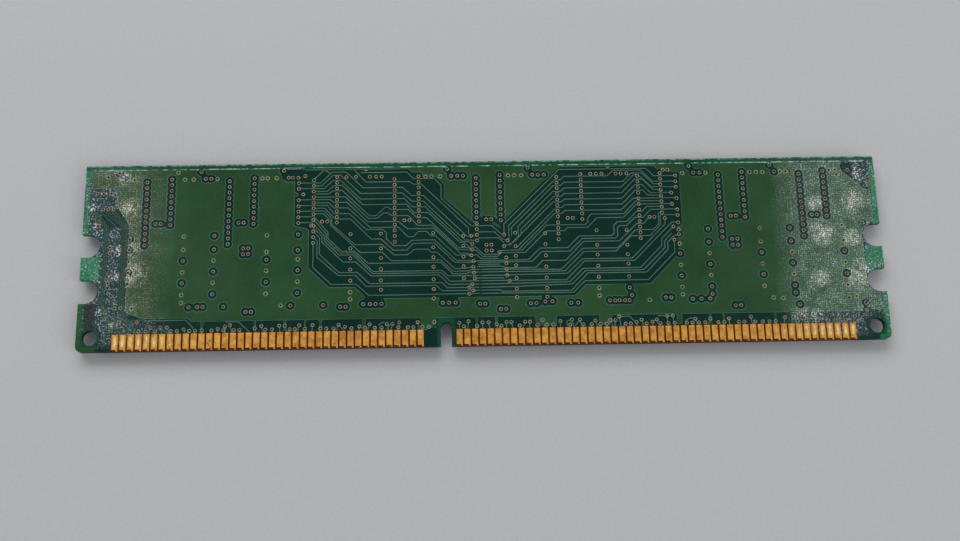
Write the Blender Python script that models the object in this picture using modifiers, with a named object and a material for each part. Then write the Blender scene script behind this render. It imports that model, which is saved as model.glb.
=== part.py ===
# A 184-contact memory module, lying on its memory chips with the bare side of the board up.
# The board's length runs along X, the contact edge faces -Y, and Z = 0 is the chips' outer face.
# Places on the board are measured from its left end (x) and from its contact edge (y).
import math

import bmesh
import bpy
from mathutils import Matrix, Vector

MM = 0.001

# Board outline
BOARD_LENGTH = 133.35 * MM
BOARD_HEIGHT = 31.75 * MM
BOARD_THICKNESS = 1.27 * MM
LOWER_CORNER_RADIUS = 1.0 * MM
UPPER_CORNER_RADIUS = 0.3 * MM
NOTCH_RADIUS = 2.0 * MM
NOTCH_DEPTH = 3.0 * MM
NOTCH_HEIGHTS = (10.0 * MM, 17.8 * MM)
KEY_X = 60.055 * MM
KEY_WIDTH = 1.8 * MM
KEY_DEPTH = 4.0 * MM
HOLE_RADIUS = 1.25 * MM
HOLE_END_DISTANCE = 2.2 * MM
HOLE_EDGE_DISTANCE = 2.3 * MM

# Layers of the board
FOIL_THICKNESS = 0.05 * MM
CONTACT_THICKNESS = 0.06 * MM
PREPREG_THICKNESS = 0.16 * MM
PLANE_THICKNESS = 0.035 * MM
LAYER_GAP = 0.01 * MM
WELD = 0.001 * MM
COPPER_INSET = 0.9 * MM
COPPER_START = 4.8 * MM

# Edge contacts
CONTACT_PITCH = 1.27 * MM
CONTACT_WIDTH = 1.02 * MM
CONTACT_START = 0.25 * MM
CONTACT_LENGTH = 2.5 * MM
CONTACT_END_MARGIN = 6.0 * MM
LEFT_CONTACT_TO_KEY = 4.175 * MM
RIGHT_CONTACT_TO_KEY = 2.175 * MM
CONTACT_RAIL = 0.12 * MM

# Memory chips
SITE_COUNT = 9
BARE_SITE = 4
FIRST_SITE_X = 12.42 * MM
LAST_SITE_MARGIN = 10.93 * MM
CHIP_START = 7.49 * MM
CHIP_STANDOFF = 0.1 * MM
CHIP_WIDTH = 10.16 * MM
CHIP_LENGTH = 22.22 * MM
CHIP_BODY = 1.0 * MM
LEAD_REACH = 0.8 * MM
LEAD_FOOT = 0.48 * MM
LEAD_THICKNESS = 0.12 * MM
LEAD_ROW_MARGIN = 0.56 * MM
LEAD_SHOULDER = 0.15 * MM
MOULD_DRAFT = 0.05 * MM
MOULD_GAP = 0.01 * MM
WINDOW_WIDTH = 2.0 * MM
WINDOW_MARGIN = 1.55 * MM
DIE_SIZE = (7.4 * MM, 12.0 * MM, 0.25 * MM)
DIE_TAPE = 0.03 * MM

# Presence detect chip
SPD_X = 3.75 * MM
SPD_Y = 25.5 * MM
SPD_WIDTH = 4.4 * MM
SPD_LENGTH = 3.0 * MM
SPD_BODY = 0.9 * MM
SPD_REACH = 1.0 * MM
SPD_ROW_MARGIN = 0.375 * MM
SPD_WINDOW_WIDTH = 0.8 * MM
SPD_WINDOW_MARGIN = 0.525 * MM

# Resistor arrays and capacitors
ARRAY_OFFSET = 3.0 * MM
ARRAY_Y = 5.6 * MM
ARRAY_LENGTH = 3.2 * MM
ARRAY_WIDTH = 1.6 * MM
ARRAY_THICKNESS = 0.5 * MM
ARRAY_PADS = 4
ARRAY_PAD_PITCH = 0.8 * MM
ARRAY_GROOVE = (0.34 * MM, 0.2 * MM)
CAPACITOR_SIZE = (0.8 * MM, 1.6 * MM, 0.8 * MM)
CAPACITOR_Y = 29.4 * MM
CAPACITOR_EDGE = 0.08 * MM

# Heights, lead rows and pitches, worked out from the sizes above
FRONT_FACE = CHIP_BODY + CHIP_STANDOFF
BACK_FACE = FRONT_FACE + BOARD_THICKNESS
FRONT_BASE = FRONT_FACE + CONTACT_THICKNESS + LAYER_GAP
BACK_BASE = BACK_FACE - CONTACT_THICKNESS - LAYER_GAP
FRONT_CORE = FRONT_BASE + PREPREG_THICKNESS + PLANE_THICKNESS + 2 * LAYER_GAP
BACK_CORE = BACK_BASE - PREPREG_THICKNESS - PLANE_THICKNESS - 2 * LAYER_GAP
SEAT = FRONT_FACE - LAYER_GAP
LEAD_ROW_LENGTH = CHIP_LENGTH - 2 * LEAD_ROW_MARGIN
FRAME_WINDOW = (WINDOW_WIDTH, LEAD_ROW_LENGTH - 2 * WINDOW_MARGIN)
SPD_ROW_LENGTH = SPD_LENGTH - 2 * SPD_ROW_MARGIN
SPD_WINDOW = (SPD_WINDOW_WIDTH, SPD_ROW_LENGTH - 2 * SPD_WINDOW_MARGIN)
SITE_PITCH = (BOARD_LENGTH - FIRST_SITE_X - LAST_SITE_MARGIN) / (SITE_COUNT - 1)

ARC_STEPS = 8
HOLE_STEPS = 16

COLOURS = {
    "laminate": ((0.30, 0.42, 0.16), 0.55, 0.0),
    "solder_mask": ((0.02, 0.16, 0.07), 0.3, 0.0),
    "copper": ((0.80, 0.42, 0.24), 0.35, 1.0),
    "gold": ((0.83, 0.58, 0.24), 0.3, 1.0),
    "mould": ((0.03, 0.03, 0.032), 0.6, 0.0),
    "tinned_lead": ((0.72, 0.72, 0.70), 0.3, 1.0),
    "silicon": ((0.20, 0.21, 0.24), 0.2, 0.8),
    "resistor": ((0.04, 0.04, 0.045), 0.5, 0.0),
    "capacitor": ((0.45, 0.31, 0.19), 0.5, 0.0),
}


def clear_scene():
    for old in list(bpy.data.objects):
        bpy.data.objects.remove(old)


def new_collection(name):
    collection = bpy.data.collections.new(name)
    bpy.context.scene.collection.children.link(collection)
    return collection


def new_material(name):
    colour, roughness, metallic = COLOURS[name]
    material = bpy.data.materials.new(name)
    material.use_nodes = True
    shader = material.node_tree.nodes["Principled BSDF"]
    shader.inputs["Base Color"].default_value = (*colour, 1.0)
    shader.inputs["Roughness"].default_value = roughness
    shader.inputs["Metallic"].default_value = metallic
    material.diffuse_color = (*colour, 1.0)
    return material


clear_scene()
MODULE = new_collection("ram_module")
CUTTERS = new_collection("cutters")
MATERIALS = {name: new_material(name) for name in COLOURS}


def on_board(x, y):
    return (x - BOARD_LENGTH / 2, y - BOARD_HEIGHT / 2)


def arc(centre, radius, start, end, steps=ARC_STEPS):
    """Points of an arc from one angle to another, in degrees."""
    angles = [math.radians(start + (end - start) * i / steps) for i in range(steps + 1)]
    return [(centre[0] + radius * math.cos(a), centre[1] + radius * math.sin(a)) for a in angles]


def end_notch(inset, height):
    """A latch notch in the right end, from below to above, on an outline that runs inside the board's."""
    radius = NOTCH_RADIUS + inset
    centre = BOARD_LENGTH - NOTCH_DEPTH + NOTCH_RADIUS
    past_edge = max(0.0, centre - (BOARD_LENGTH - inset))
    turn = math.degrees(math.asin(past_edge / radius))
    curve = arc((centre, height), radius, 270 - turn, 90 + turn)
    if past_edge > 0:
        return curve
    edge = BOARD_LENGTH - inset
    return [(edge, height - radius), *curve, (edge, height + radius)]


def end_outline(inset, low, corner_radius):
    """The right end of an outline, from its lower corner to its upper one."""
    edge = BOARD_LENGTH - inset
    top = BOARD_HEIGHT - inset
    points = arc((edge - corner_radius, low + corner_radius), corner_radius, 270, 360, 4)
    for height in NOTCH_HEIGHTS:
        points += end_notch(inset, height)
    centre = (edge - UPPER_CORNER_RADIUS, top - UPPER_CORNER_RADIUS)
    return points + arc(centre, UPPER_CORNER_RADIUS, 0, 90, 3)


def both_ends(right_end):
    left_end = [(BOARD_LENGTH - x, y) for x, y in reversed(right_end)]
    return right_end + left_end


def key_slot():
    radius = KEY_WIDTH / 2
    top = arc((KEY_X, KEY_DEPTH - radius), radius, 180, 0)
    return [(KEY_X - radius, 0.0), *top, (KEY_X + radius, 0.0)]


def board_loops():
    """The whole board: its outline with notches and key slot, and the two corner holes."""
    outline = both_ends(end_outline(0.0, 0.0, LOWER_CORNER_RADIUS)) + key_slot()
    holes = []
    for x in (HOLE_END_DISTANCE, BOARD_LENGTH - HOLE_END_DISTANCE):
        circle = arc((x, HOLE_EDGE_DISTANCE), HOLE_RADIUS, 0, 360, HOLE_STEPS)
        holes.append(circle[:-1])
    return [outline, *holes]


def copper_loops(inset=COPPER_INSET, low=COPPER_START):
    return [both_ends(end_outline(inset, low, UPPER_CORNER_RADIUS))]


def place(piece, name, material, collection=MODULE):
    piece.name = name
    piece.data.materials.clear()
    piece.data.materials.append(MATERIALS[material])
    collection.objects.link(piece)
    return piece


def hide(cutter):
    cutter.hide_render = True
    cutter.display_type = "WIRE"
    return cutter


def flat_curve(name, loops, thickness):
    curve = bpy.data.curves.new(name, "CURVE")
    curve.dimensions = "2D"
    curve.fill_mode = "BOTH"
    curve.extrude = thickness / 2
    for loop in loops:
        spline = curve.splines.new("POLY")
        spline.points.add(len(loop) - 1)
        for point, (x, y) in zip(spline.points, loop):
            point.co = (x, y, 0.0, 1.0)
        spline.use_cyclic_u = True
    return curve


def flat_piece(name, loops, low, high, material, collection=MODULE):
    """A sheet between two heights, with its outline given on the board."""
    placed = [[on_board(x, y) for x, y in loop] for loop in loops]
    piece = bpy.data.objects.new(name, flat_curve(name, placed, high - low))
    piece.location.z = (low + high) / 2
    return place(piece, name, material, collection)


def as_mesh(piece):
    """The piece as the viewport shows it, made a welded mesh with its place kept."""
    bpy.context.view_layer.update()
    evaluated = piece.evaluated_get(bpy.context.evaluated_depsgraph_get())
    mesh = bpy.data.meshes.new_from_object(evaluated)
    work = bmesh.new()
    work.from_mesh(mesh)
    bmesh.ops.remove_doubles(work, verts=work.verts, dist=WELD)
    work.to_mesh(mesh)
    work.free()
    solid = bpy.data.objects.new(piece.name, mesh)
    solid.matrix_world = piece.matrix_world
    for collection in piece.users_collection:
        collection.objects.link(solid)
    name = piece.name
    bpy.data.objects.remove(piece)
    solid.name = name
    return solid


def settled(piece):
    """Moves the piece's place into its mesh, so that its object sits at the origin."""
    piece.data.transform(piece.matrix_world)
    piece.matrix_world = Matrix.Identity(4)
    return piece


def box(name, size, centre, material, collection=CUTTERS):
    mesh = bpy.data.meshes.new(name)
    work = bmesh.new()
    bmesh.ops.create_cube(work, size=1.0)
    bmesh.ops.scale(work, vec=size, verts=work.verts)
    bmesh.ops.translate(work, vec=centre, verts=work.verts)
    work.to_mesh(mesh)
    work.free()
    return place(bpy.data.objects.new(name, mesh), name, material, collection)


def cut(piece, cutter, solver="EXACT"):
    """Takes the cutter's shape out of the piece."""
    boolean = piece.modifiers.new("cut " + cutter.name, "BOOLEAN")
    boolean.operation = "DIFFERENCE"
    boolean.solver = solver
    boolean.object = hide(cutter)
    return piece


def offset_path(path, distance):
    """The path moved sideways by a distance, with its corners kept sharp."""
    normals = []
    for (x0, y0), (x1, y1) in zip(path, path[1:]):
        along = Vector((x1 - x0, y1 - y0)).normalized()
        normals.append(Vector((-along.y, along.x)))
    moved = []
    for i, point in enumerate(path):
        before = normals[max(i - 1, 0)]
        after = normals[min(i, len(normals) - 1)]
        mitre = (before + after).normalized()
        moved.append(Vector(point) + mitre * distance / mitre.dot(before))
    return [tuple(point) for point in moved]


def gull_wing_path(body_width, reach, body_low, body_high):
    """The bent section of a lead frame, from one row of feet to the other."""
    middle = (body_low + body_high) / 2
    foot = SEAT - LEAD_THICKNESS / 2
    tip = body_width / 2 + reach
    half = [(body_width / 2 + LEAD_SHOULDER, middle), (tip - LEAD_FOOT, foot), (tip, foot)]
    return [(-x, z) for x, z in reversed(half)] + half


def lead_frame(name, path, row_length, window, spread=0.0):
    """A bent strip with a window in its middle; spread makes the larger shape that the mould keeps clear."""
    half = LEAD_THICKNESS / 2 + spread
    section = offset_path(path, half) + list(reversed(offset_path(path, -half)))
    curve = flat_curve(name, [section], row_length + 2 * spread)
    strip = bpy.data.objects.new(name, curve)
    strip.rotation_euler.x = math.pi / 2
    strip = settled(as_mesh(place(strip, name, "tinned_lead", CUTTERS)))
    size = (window[0] - 2 * spread, window[1] - 2 * spread, 1.0 * MM)
    middle = path[2][1]
    return cut(strip, box(name + " window", size, (0.0, 0.0, middle), "tinned_lead"))


def moulded_body(name, width, length, low, high):
    """A mould that is widest at its parting line, half way up."""
    draft = 2 * MOULD_DRAFT
    centre = (0.0, 0.0, (low + high) / 2)
    piece = box(name, (width - draft, length - draft, high - low), centre, "mould")
    work = bmesh.new()
    work.from_mesh(piece.data)
    everything = work.verts[:] + work.edges[:] + work.faces[:]
    split = bmesh.ops.bisect_plane(work, geom=everything, plane_co=centre, plane_no=(0, 0, 1))
    ring = [item for item in split["geom_cut"] if isinstance(item, bmesh.types.BMVert)]
    widen = (width / (width - draft), length / (length - draft), 1.0)
    bmesh.ops.scale(work, vec=widen, verts=ring)
    work.to_mesh(piece.data)
    work.free()
    return piece


def finished_mesh(piece, name):
    """The piece's shape with its modifiers, as a mesh that copies can share; it is a helper from then on."""
    bpy.context.view_layer.update()
    evaluated = piece.evaluated_get(bpy.context.evaluated_depsgraph_get())
    mesh = bpy.data.meshes.new_from_object(evaluated)
    mesh.name = name
    hide(piece)
    return mesh


def put_copy(name, mesh, x, y, material, turn=0.0):
    place_x, place_y = on_board(x, y)
    piece = bpy.data.objects.new(name, mesh)
    piece.location = (place_x, place_y, 0.0)
    piece.rotation_euler.z = turn
    return place(piece, name, material)


def site_x(site):
    return FIRST_SITE_X + SITE_PITCH * site


def make_board():
    flat_piece("core_laminate", board_loops(), FRONT_CORE, BACK_CORE, "laminate")
    for side, base, core in (("front", FRONT_BASE, FRONT_CORE), ("back", BACK_BASE, BACK_CORE)):
        away = 1 if base > core else -1
        inner = core + away * LAYER_GAP
        low, high = sorted((inner, base))
        prepreg = flat_piece(side + "_prepreg", board_loops(), low, high, "laminate")
        pocket_end = inner + away * (PLANE_THICKNESS + LAYER_GAP)
        pocket_low, pocket_high = sorted((core, pocket_end))
        loops = copper_loops(COPPER_INSET - LAYER_GAP, COPPER_START - LAYER_GAP)
        pocket = flat_piece(side + "_pocket", loops, pocket_low, pocket_high, "laminate", CUTTERS)
        # The exact solver leaves this thin, many-cornered sheet open.
        cut(as_mesh(prepreg), as_mesh(pocket), "MANIFOLD")
        plane = "power_plane" if side == "front" else "ground_plane"
        low, high = sorted((inner, inner + away * PLANE_THICKNESS))
        flat_piece(plane, copper_loops(), low, high, "copper")
        foil_base = base + away * LAYER_GAP
        low, high = sorted((foil_base, foil_base + away * FOIL_THICKNESS))
        flat_piece(side + "_copper", copper_loops(), low, high, "solder_mask")


def contact_columns():
    """The x of each contact's centre, left and right of the key slot."""
    left_last = KEY_X - LEFT_CONTACT_TO_KEY
    right_first = KEY_X + RIGHT_CONTACT_TO_KEY
    left_count = int((left_last - CONTACT_END_MARGIN) / CONTACT_PITCH) + 1
    right_span = BOARD_LENGTH - CONTACT_END_MARGIN - right_first
    right_count = int(right_span / CONTACT_PITCH) + 1
    left = [left_last - CONTACT_PITCH * i for i in reversed(range(left_count))]
    right = [right_first + CONTACT_PITCH * i for i in range(right_count)]
    return {"left": left, "right": right}


def contact_comb(columns):
    """A row of contacts, joined above their upper ends by a thin rail."""
    half = CONTACT_WIDTH / 2
    top = CONTACT_START + CONTACT_LENGTH
    points = []
    for x in columns:
        points += [(x - half, top), (x - half, CONTACT_START)]
        points += [(x + half, CONTACT_START), (x + half, top)]
    points[0] = (columns[0] - half, top + CONTACT_RAIL)
    points[-1] = (columns[-1] + half, top + CONTACT_RAIL)
    return [points]


def make_contacts():
    for group, columns in contact_columns().items():
        comb = contact_comb(columns)
        front_top = FRONT_FACE + CONTACT_THICKNESS
        back_low = BACK_FACE - CONTACT_THICKNESS
        flat_piece("front_contacts_" + group, comb, FRONT_FACE, front_top, "gold")
        flat_piece("back_contacts_" + group, comb, back_low, BACK_FACE, "gold")


def chip_meshes(name, width, length, body, reach, row_length, window, die=None):
    """The meshes of one chip at the origin: its package, its lead frame and, with a die size, its die."""
    high = FRONT_FACE - CHIP_STANDOFF
    low = high - body
    middle = (low + high) / 2
    path = gull_wing_path(width, reach, low, high)
    mould = moulded_body(name + " mould", width, length, low, high)
    cut(mould, lead_frame(name + " slot", path, row_length, window, MOULD_GAP))
    meshes = {}
    if die:
        die_top = middle - LEAD_THICKNESS / 2 - DIE_TAPE
        centre = (0.0, 0.0, die_top - die[2] / 2)
        chip = box(name + " silicon", die, centre, "silicon")
        meshes["die"] = finished_mesh(chip, name + " die")
        pocket_low = die_top - die[2] - MOULD_GAP
        depth = middle - pocket_low
        size = (die[0] + 2 * MOULD_GAP, die[1] + 2 * MOULD_GAP, depth)
        cut(mould, box(name + " die pocket", size, (0.0, 0.0, pocket_low + depth / 2), "mould"))
    frame = lead_frame(name + " frame", path, row_length, window)
    meshes["lead_frame"] = finished_mesh(frame, name + " lead frame")
    meshes["package"] = finished_mesh(mould, name + " package")
    return meshes


CHIP_MATERIALS = {"package": "mould", "lead_frame": "tinned_lead", "die": "silicon"}


def put_chip(name, meshes, x, y, turn=0.0):
    for piece, mesh in meshes.items():
        put_copy(f"{name}_{piece}", mesh, x, y, CHIP_MATERIALS[piece], turn)


def make_chips():
    meshes = chip_meshes(
        "memory chip", CHIP_WIDTH, CHIP_LENGTH, CHIP_BODY, LEAD_REACH, LEAD_ROW_LENGTH, FRAME_WINDOW, DIE_SIZE
    )
    sites = [site for site in range(SITE_COUNT) if site != BARE_SITE]
    for number, site in enumerate(sites, start=1):
        put_chip(f"memory_chip_{number}", meshes, site_x(site), CHIP_START + CHIP_LENGTH / 2)
    meshes = chip_meshes(
        "presence chip", SPD_WIDTH, SPD_LENGTH, SPD_BODY, SPD_REACH, SPD_ROW_LENGTH, SPD_WINDOW
    )
    put_chip("presence_chip", meshes, SPD_X, SPD_Y, turn=math.pi / 2)


def array_outline():
    """A resistor array's outline: a groove between each two of its terminals, on both long sides."""
    half_length, half_width = ARRAY_LENGTH / 2, ARRAY_WIDTH / 2
    groove_width, groove_depth = ARRAY_GROOVE
    side = [(-half_length, -half_width)]
    for i in range(1, ARRAY_PADS):
        x = (i - ARRAY_PADS / 2) * ARRAY_PAD_PITCH
        for dx, y in ((-1, 0), (-1, groove_depth), (1, groove_depth), (1, 0)):
            side.append((x + dx * groove_width / 2, -half_width + y))
    side.append((half_length, -half_width))
    return side + [(-x, -y) for x, y in side]


def make_passives():
    curve = flat_curve("resistor array", [array_outline()], ARRAY_THICKNESS)
    blank = bpy.data.objects.new("resistor array", curve)
    blank.location.z = SEAT - ARRAY_THICKNESS / 2
    blank = settled(as_mesh(place(blank, "resistor array", "resistor", CUTTERS)))
    array = finished_mesh(blank, "resistor array body")
    sites = [site for site in range(SITE_COUNT) if site != BARE_SITE]
    places = [site_x(site) + side * ARRAY_OFFSET for site in sites for side in (-1, 1)]
    for number, x in enumerate(places, start=1):
        put_copy(f"resistor_array_{number}", array, x, ARRAY_Y, "resistor")
    centre = (0.0, 0.0, SEAT - CAPACITOR_SIZE[2] / 2)
    blank = box("capacitor", CAPACITOR_SIZE, centre, "capacitor")
    bevel = blank.modifiers.new("soft edges", "BEVEL")
    bevel.width = CAPACITOR_EDGE
    bevel.segments = 1
    capacitor = finished_mesh(blank, "capacitor body")
    gaps = [gap for gap in range(SITE_COUNT - 1) if gap != BARE_SITE]
    for number, gap in enumerate(gaps, start=1):
        x = site_x(gap) + SITE_PITCH / 2
        put_copy(f"capacitor_{number}", capacitor, x, CAPACITOR_Y, "capacitor")


make_board()
make_contacts()
make_chips()
make_passives()
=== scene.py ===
import math

import bmesh
import bpy
from mathutils import Matrix, Vector
from mathutils.geometry import delaunay_2d_cdt


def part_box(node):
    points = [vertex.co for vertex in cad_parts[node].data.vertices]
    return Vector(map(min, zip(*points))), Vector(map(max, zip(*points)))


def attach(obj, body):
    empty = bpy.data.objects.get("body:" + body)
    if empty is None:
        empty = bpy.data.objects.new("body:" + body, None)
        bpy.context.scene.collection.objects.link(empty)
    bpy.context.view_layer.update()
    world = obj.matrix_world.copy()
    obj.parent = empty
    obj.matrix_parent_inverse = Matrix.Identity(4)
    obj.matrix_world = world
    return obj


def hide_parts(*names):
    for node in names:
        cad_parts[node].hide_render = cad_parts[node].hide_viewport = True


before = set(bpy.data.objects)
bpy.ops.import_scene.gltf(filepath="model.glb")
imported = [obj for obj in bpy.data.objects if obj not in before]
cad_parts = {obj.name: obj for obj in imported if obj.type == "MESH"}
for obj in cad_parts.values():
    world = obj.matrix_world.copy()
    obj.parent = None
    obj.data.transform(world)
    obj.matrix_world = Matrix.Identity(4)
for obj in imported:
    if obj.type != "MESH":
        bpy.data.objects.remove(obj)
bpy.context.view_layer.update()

# Places on the board are millimetres from its left end (x) and from its contact edge (y).
mm = 0.001
boardLow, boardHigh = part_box("core_laminate")
boardLength = (boardHigh.x - boardLow.x) / mm
boardHeight = (boardHigh.y - boardLow.y) / mm
boardMiddle = (boardLow + boardHigh) / 2
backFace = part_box("back_contacts_left")[1].z
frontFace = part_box("front_contacts_left")[0].z
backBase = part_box("back_prepreg")[1].z
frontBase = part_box("front_prepreg")[0].z
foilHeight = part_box("back_copper")[1].z - backBase

board = {
    "notchRadius": 2.0, "notchDepth": 3.0, "notchHeights": (10.0, 17.8), "keyX": 60.055,
    "keyWidth": 1.8, "keyDepth": 4.0, "holeRadius": 1.25, "holeX": 2.2, "holeY": 2.3,
    "lowerCorner": 1.0, "upperCorner": 0.3, "arcSteps": 14, "holeSteps": 28,
}


def place(x, y, z=0.0):
    return Vector((boardLow.x + x * mm, boardLow.y + y * mm, z))


def deselect():
    if bpy.context.object and bpy.context.object.mode != "OBJECT":
        bpy.ops.object.mode_set(mode="OBJECT")
    bpy.ops.object.select_all(action="DESELECT")


def choose(piece):
    deselect()
    piece.select_set(True)
    bpy.context.view_layer.objects.active = piece
    return piece


def editMode(selected=True):
    bpy.ops.object.mode_set(mode="EDIT")
    bpy.ops.mesh.select_all(action="SELECT" if selected else "DESELECT")


def objectMode():
    bpy.ops.object.mode_set(mode="OBJECT")


def faceOutwards():
    # from edit mode to object mode, with every face turned outwards
    bpy.ops.mesh.select_all(action="SELECT")
    bpy.ops.mesh.normals_make_consistent(inside=False)
    objectMode()


def selectEdges(piece, axis, value):
    # to edit mode, with only the edges selected that lie wholly at this value along the axis
    editMode(selected=False)
    objectMode()
    verts = piece.data.vertices
    for edge in piece.data.edges:
        edge.select = all(abs(verts[i].co[axis] - value) < 1e-8 for i in edge.vertices)
    bpy.ops.object.mode_set(mode="EDIT")


def addObject(name, data):
    piece = bpy.data.objects.new(name, data)
    bpy.context.collection.objects.link(piece)
    return piece


def applyModifiers(piece):
    choose(piece)
    for modifier in list(piece.modifiers):
        bpy.ops.object.modifier_apply(modifier=modifier.name)
    return piece


def settle(piece):
    choose(piece)
    bpy.ops.object.transform_apply(location=True, rotation=True, scale=True)
    return piece


def finishPiece(piece, slotName, *nodes):
    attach(piece, "root")
    if nodes:
        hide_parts(*nodes)
    return piece


# materials: every pattern reads Object coordinates, and tree is the material's node tree
def newMaterial(name):
    material = bpy.data.materials.new(name)
    material.use_nodes = True
    tree = material.node_tree
    coords = tree.nodes.new("ShaderNodeTexCoord").outputs["Object"]
    return material, tree, coords, tree.nodes["Principled BSDF"]


def mathNode(tree, operation, *values):
    node = tree.nodes.new("ShaderNodeMath")
    node.operation = operation
    for socket, value in zip(node.inputs, values):
        if isinstance(value, (int, float)):
            socket.default_value = value
        else:
            tree.links.new(value, socket)
    return node.outputs[0]


def combined(tree, operation, values):
    first, *others = values
    for value in others:
        first = mathNode(tree, operation, first, value)
    return first


def axes(tree, coords):
    node = tree.nodes.new("ShaderNodeSeparateXYZ")
    tree.links.new(coords, node.inputs[0])
    return node.outputs


def noise(tree, coords, scale, detail=3.0, roughness=0.55):
    node = tree.nodes.new("ShaderNodeTexNoise")
    node.inputs["Scale"].default_value = scale
    node.inputs["Detail"].default_value = detail
    node.inputs["Roughness"].default_value = roughness
    tree.links.new(coords, node.inputs["Vector"])
    return node.outputs["Fac"]


def ramp(tree, value, low, high, start=0.0, end=1.0):
    node = tree.nodes.new("ShaderNodeMapRange")
    for name, number in (("From Min", low), ("From Max", high), ("To Min", start), ("To Max", end)):
        node.inputs[name].default_value = number
    tree.links.new(value, node.inputs["Value"])
    return node.outputs["Result"]


def patches(tree, coords, look):
    # noise that is cut to a range; least is its value at the low end
    cloud = noise(tree, coords, look["scale"], look.get("detail", 3.0), look.get("roughness", 0.55))
    return ramp(tree, cloud, *look["range"], look.get("least", 0.0))


def mixColours(tree, factor, first, second):
    node = tree.nodes.new("ShaderNodeMix")
    node.data_type = "RGBA"
    tree.links.new(factor, node.inputs["Factor"])
    for socket, value in ((node.inputs["A"], first), (node.inputs["B"], second)):
        if isinstance(value, tuple):
            socket.default_value = (*value, 1.0)
        else:
            tree.links.new(value, socket)
    return node.outputs["Result"]


def bumpNode(tree, height, strength, distance):
    node = tree.nodes.new("ShaderNodeBump")
    node.inputs["Strength"].default_value = strength
    node.inputs["Distance"].default_value = distance
    tree.links.new(height, node.inputs["Height"])
    return node.outputs[0]


def yarnTurns(tree, coords, axis, pitch):
    # the angle that a wave with this pitch has reached along one axis
    return mathNode(tree, "MULTIPLY", axes(tree, coords)[axis], 2 * math.pi / (pitch * mm))


def weave(tree, coords, pitch):
    # glass cloth under the resin: two crossed sets of yarns that pass over and under each other
    waves = [mathNode(tree, "SINE", yarnTurns(tree, coords, axis, pitch)) for axis in ("X", "Y")]
    return mathNode(tree, "MULTIPLY", *waves)


def zoneMask(tree, coords, zone, soft=0.12):
    # 1 inside a rectangle on the board, falling to 0 just outside it
    steps = []
    for axis, low, high, base in (("X", *zone[:2], boardLow.x), ("Y", *zone[2:], boardLow.y)):
        for edge, side in ((low, 1), (high, -1)):
            start = base + (edge - side * soft) * mm
            steps.append(ramp(tree, axes(tree, coords)[axis], start, start + 2 * side * soft * mm))
    return combined(tree, "MULTIPLY", steps)


def nearness(tree, coords, x, y, radius):
    # 1 at a place on the back of the board, falling to 0 at the radius
    reach = tree.nodes.new("ShaderNodeVectorMath")
    reach.operation = "DISTANCE"
    tree.links.new(coords, reach.inputs[0])
    reach.inputs[1].default_value = place(x, y, backBase)
    return ramp(tree, reach.outputs["Value"], radius * mm, radius * 0.2 * mm)


maskLook = {
    # the dark and the light tone of each kind of surface under the solder mask
    "copper": ((0.015, 0.056, 0.019), (0.033, 0.106, 0.038)),
    "laminate": ((0.001, 0.022, 0.016), (0.003, 0.037, 0.027)),
    "trace": ((0.060, 0.135, 0.095), (0.140, 0.255, 0.185)),
    # rim: a painted highlight along the stepped edges of the pour and its clearances, lighter than the mask
    # over copper
    "rim": ((0.030, 0.095, 0.068), (0.095, 0.215, 0.165)),
    "bundle": ((0.022, 0.062, 0.044), (0.050, 0.115, 0.082)),
    "roughness": 0.6, "roughnessSpread": 0.1, "specular": 0.04, "coat": 0.18, "coatRoughness": 0.08,
    "clothPitch": 0.45, "clothTone": 0.22, "broad": {"scale": 140.0, "detail": 5.0, "range": (0.3, 0.7)},
    "grainScale": 2400.0, "grainDetail": 2.0, "grainTone": 0.9, "grainHeight": 1.2, "toneRange": (0.2, 1.7),
    "bump": {"copper": 0.20, "laminate": 0.22, "trace": 0.1, "bundle": 0.1, "rim": 0.1}, "bumpDistance": 0.02,
}
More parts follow.
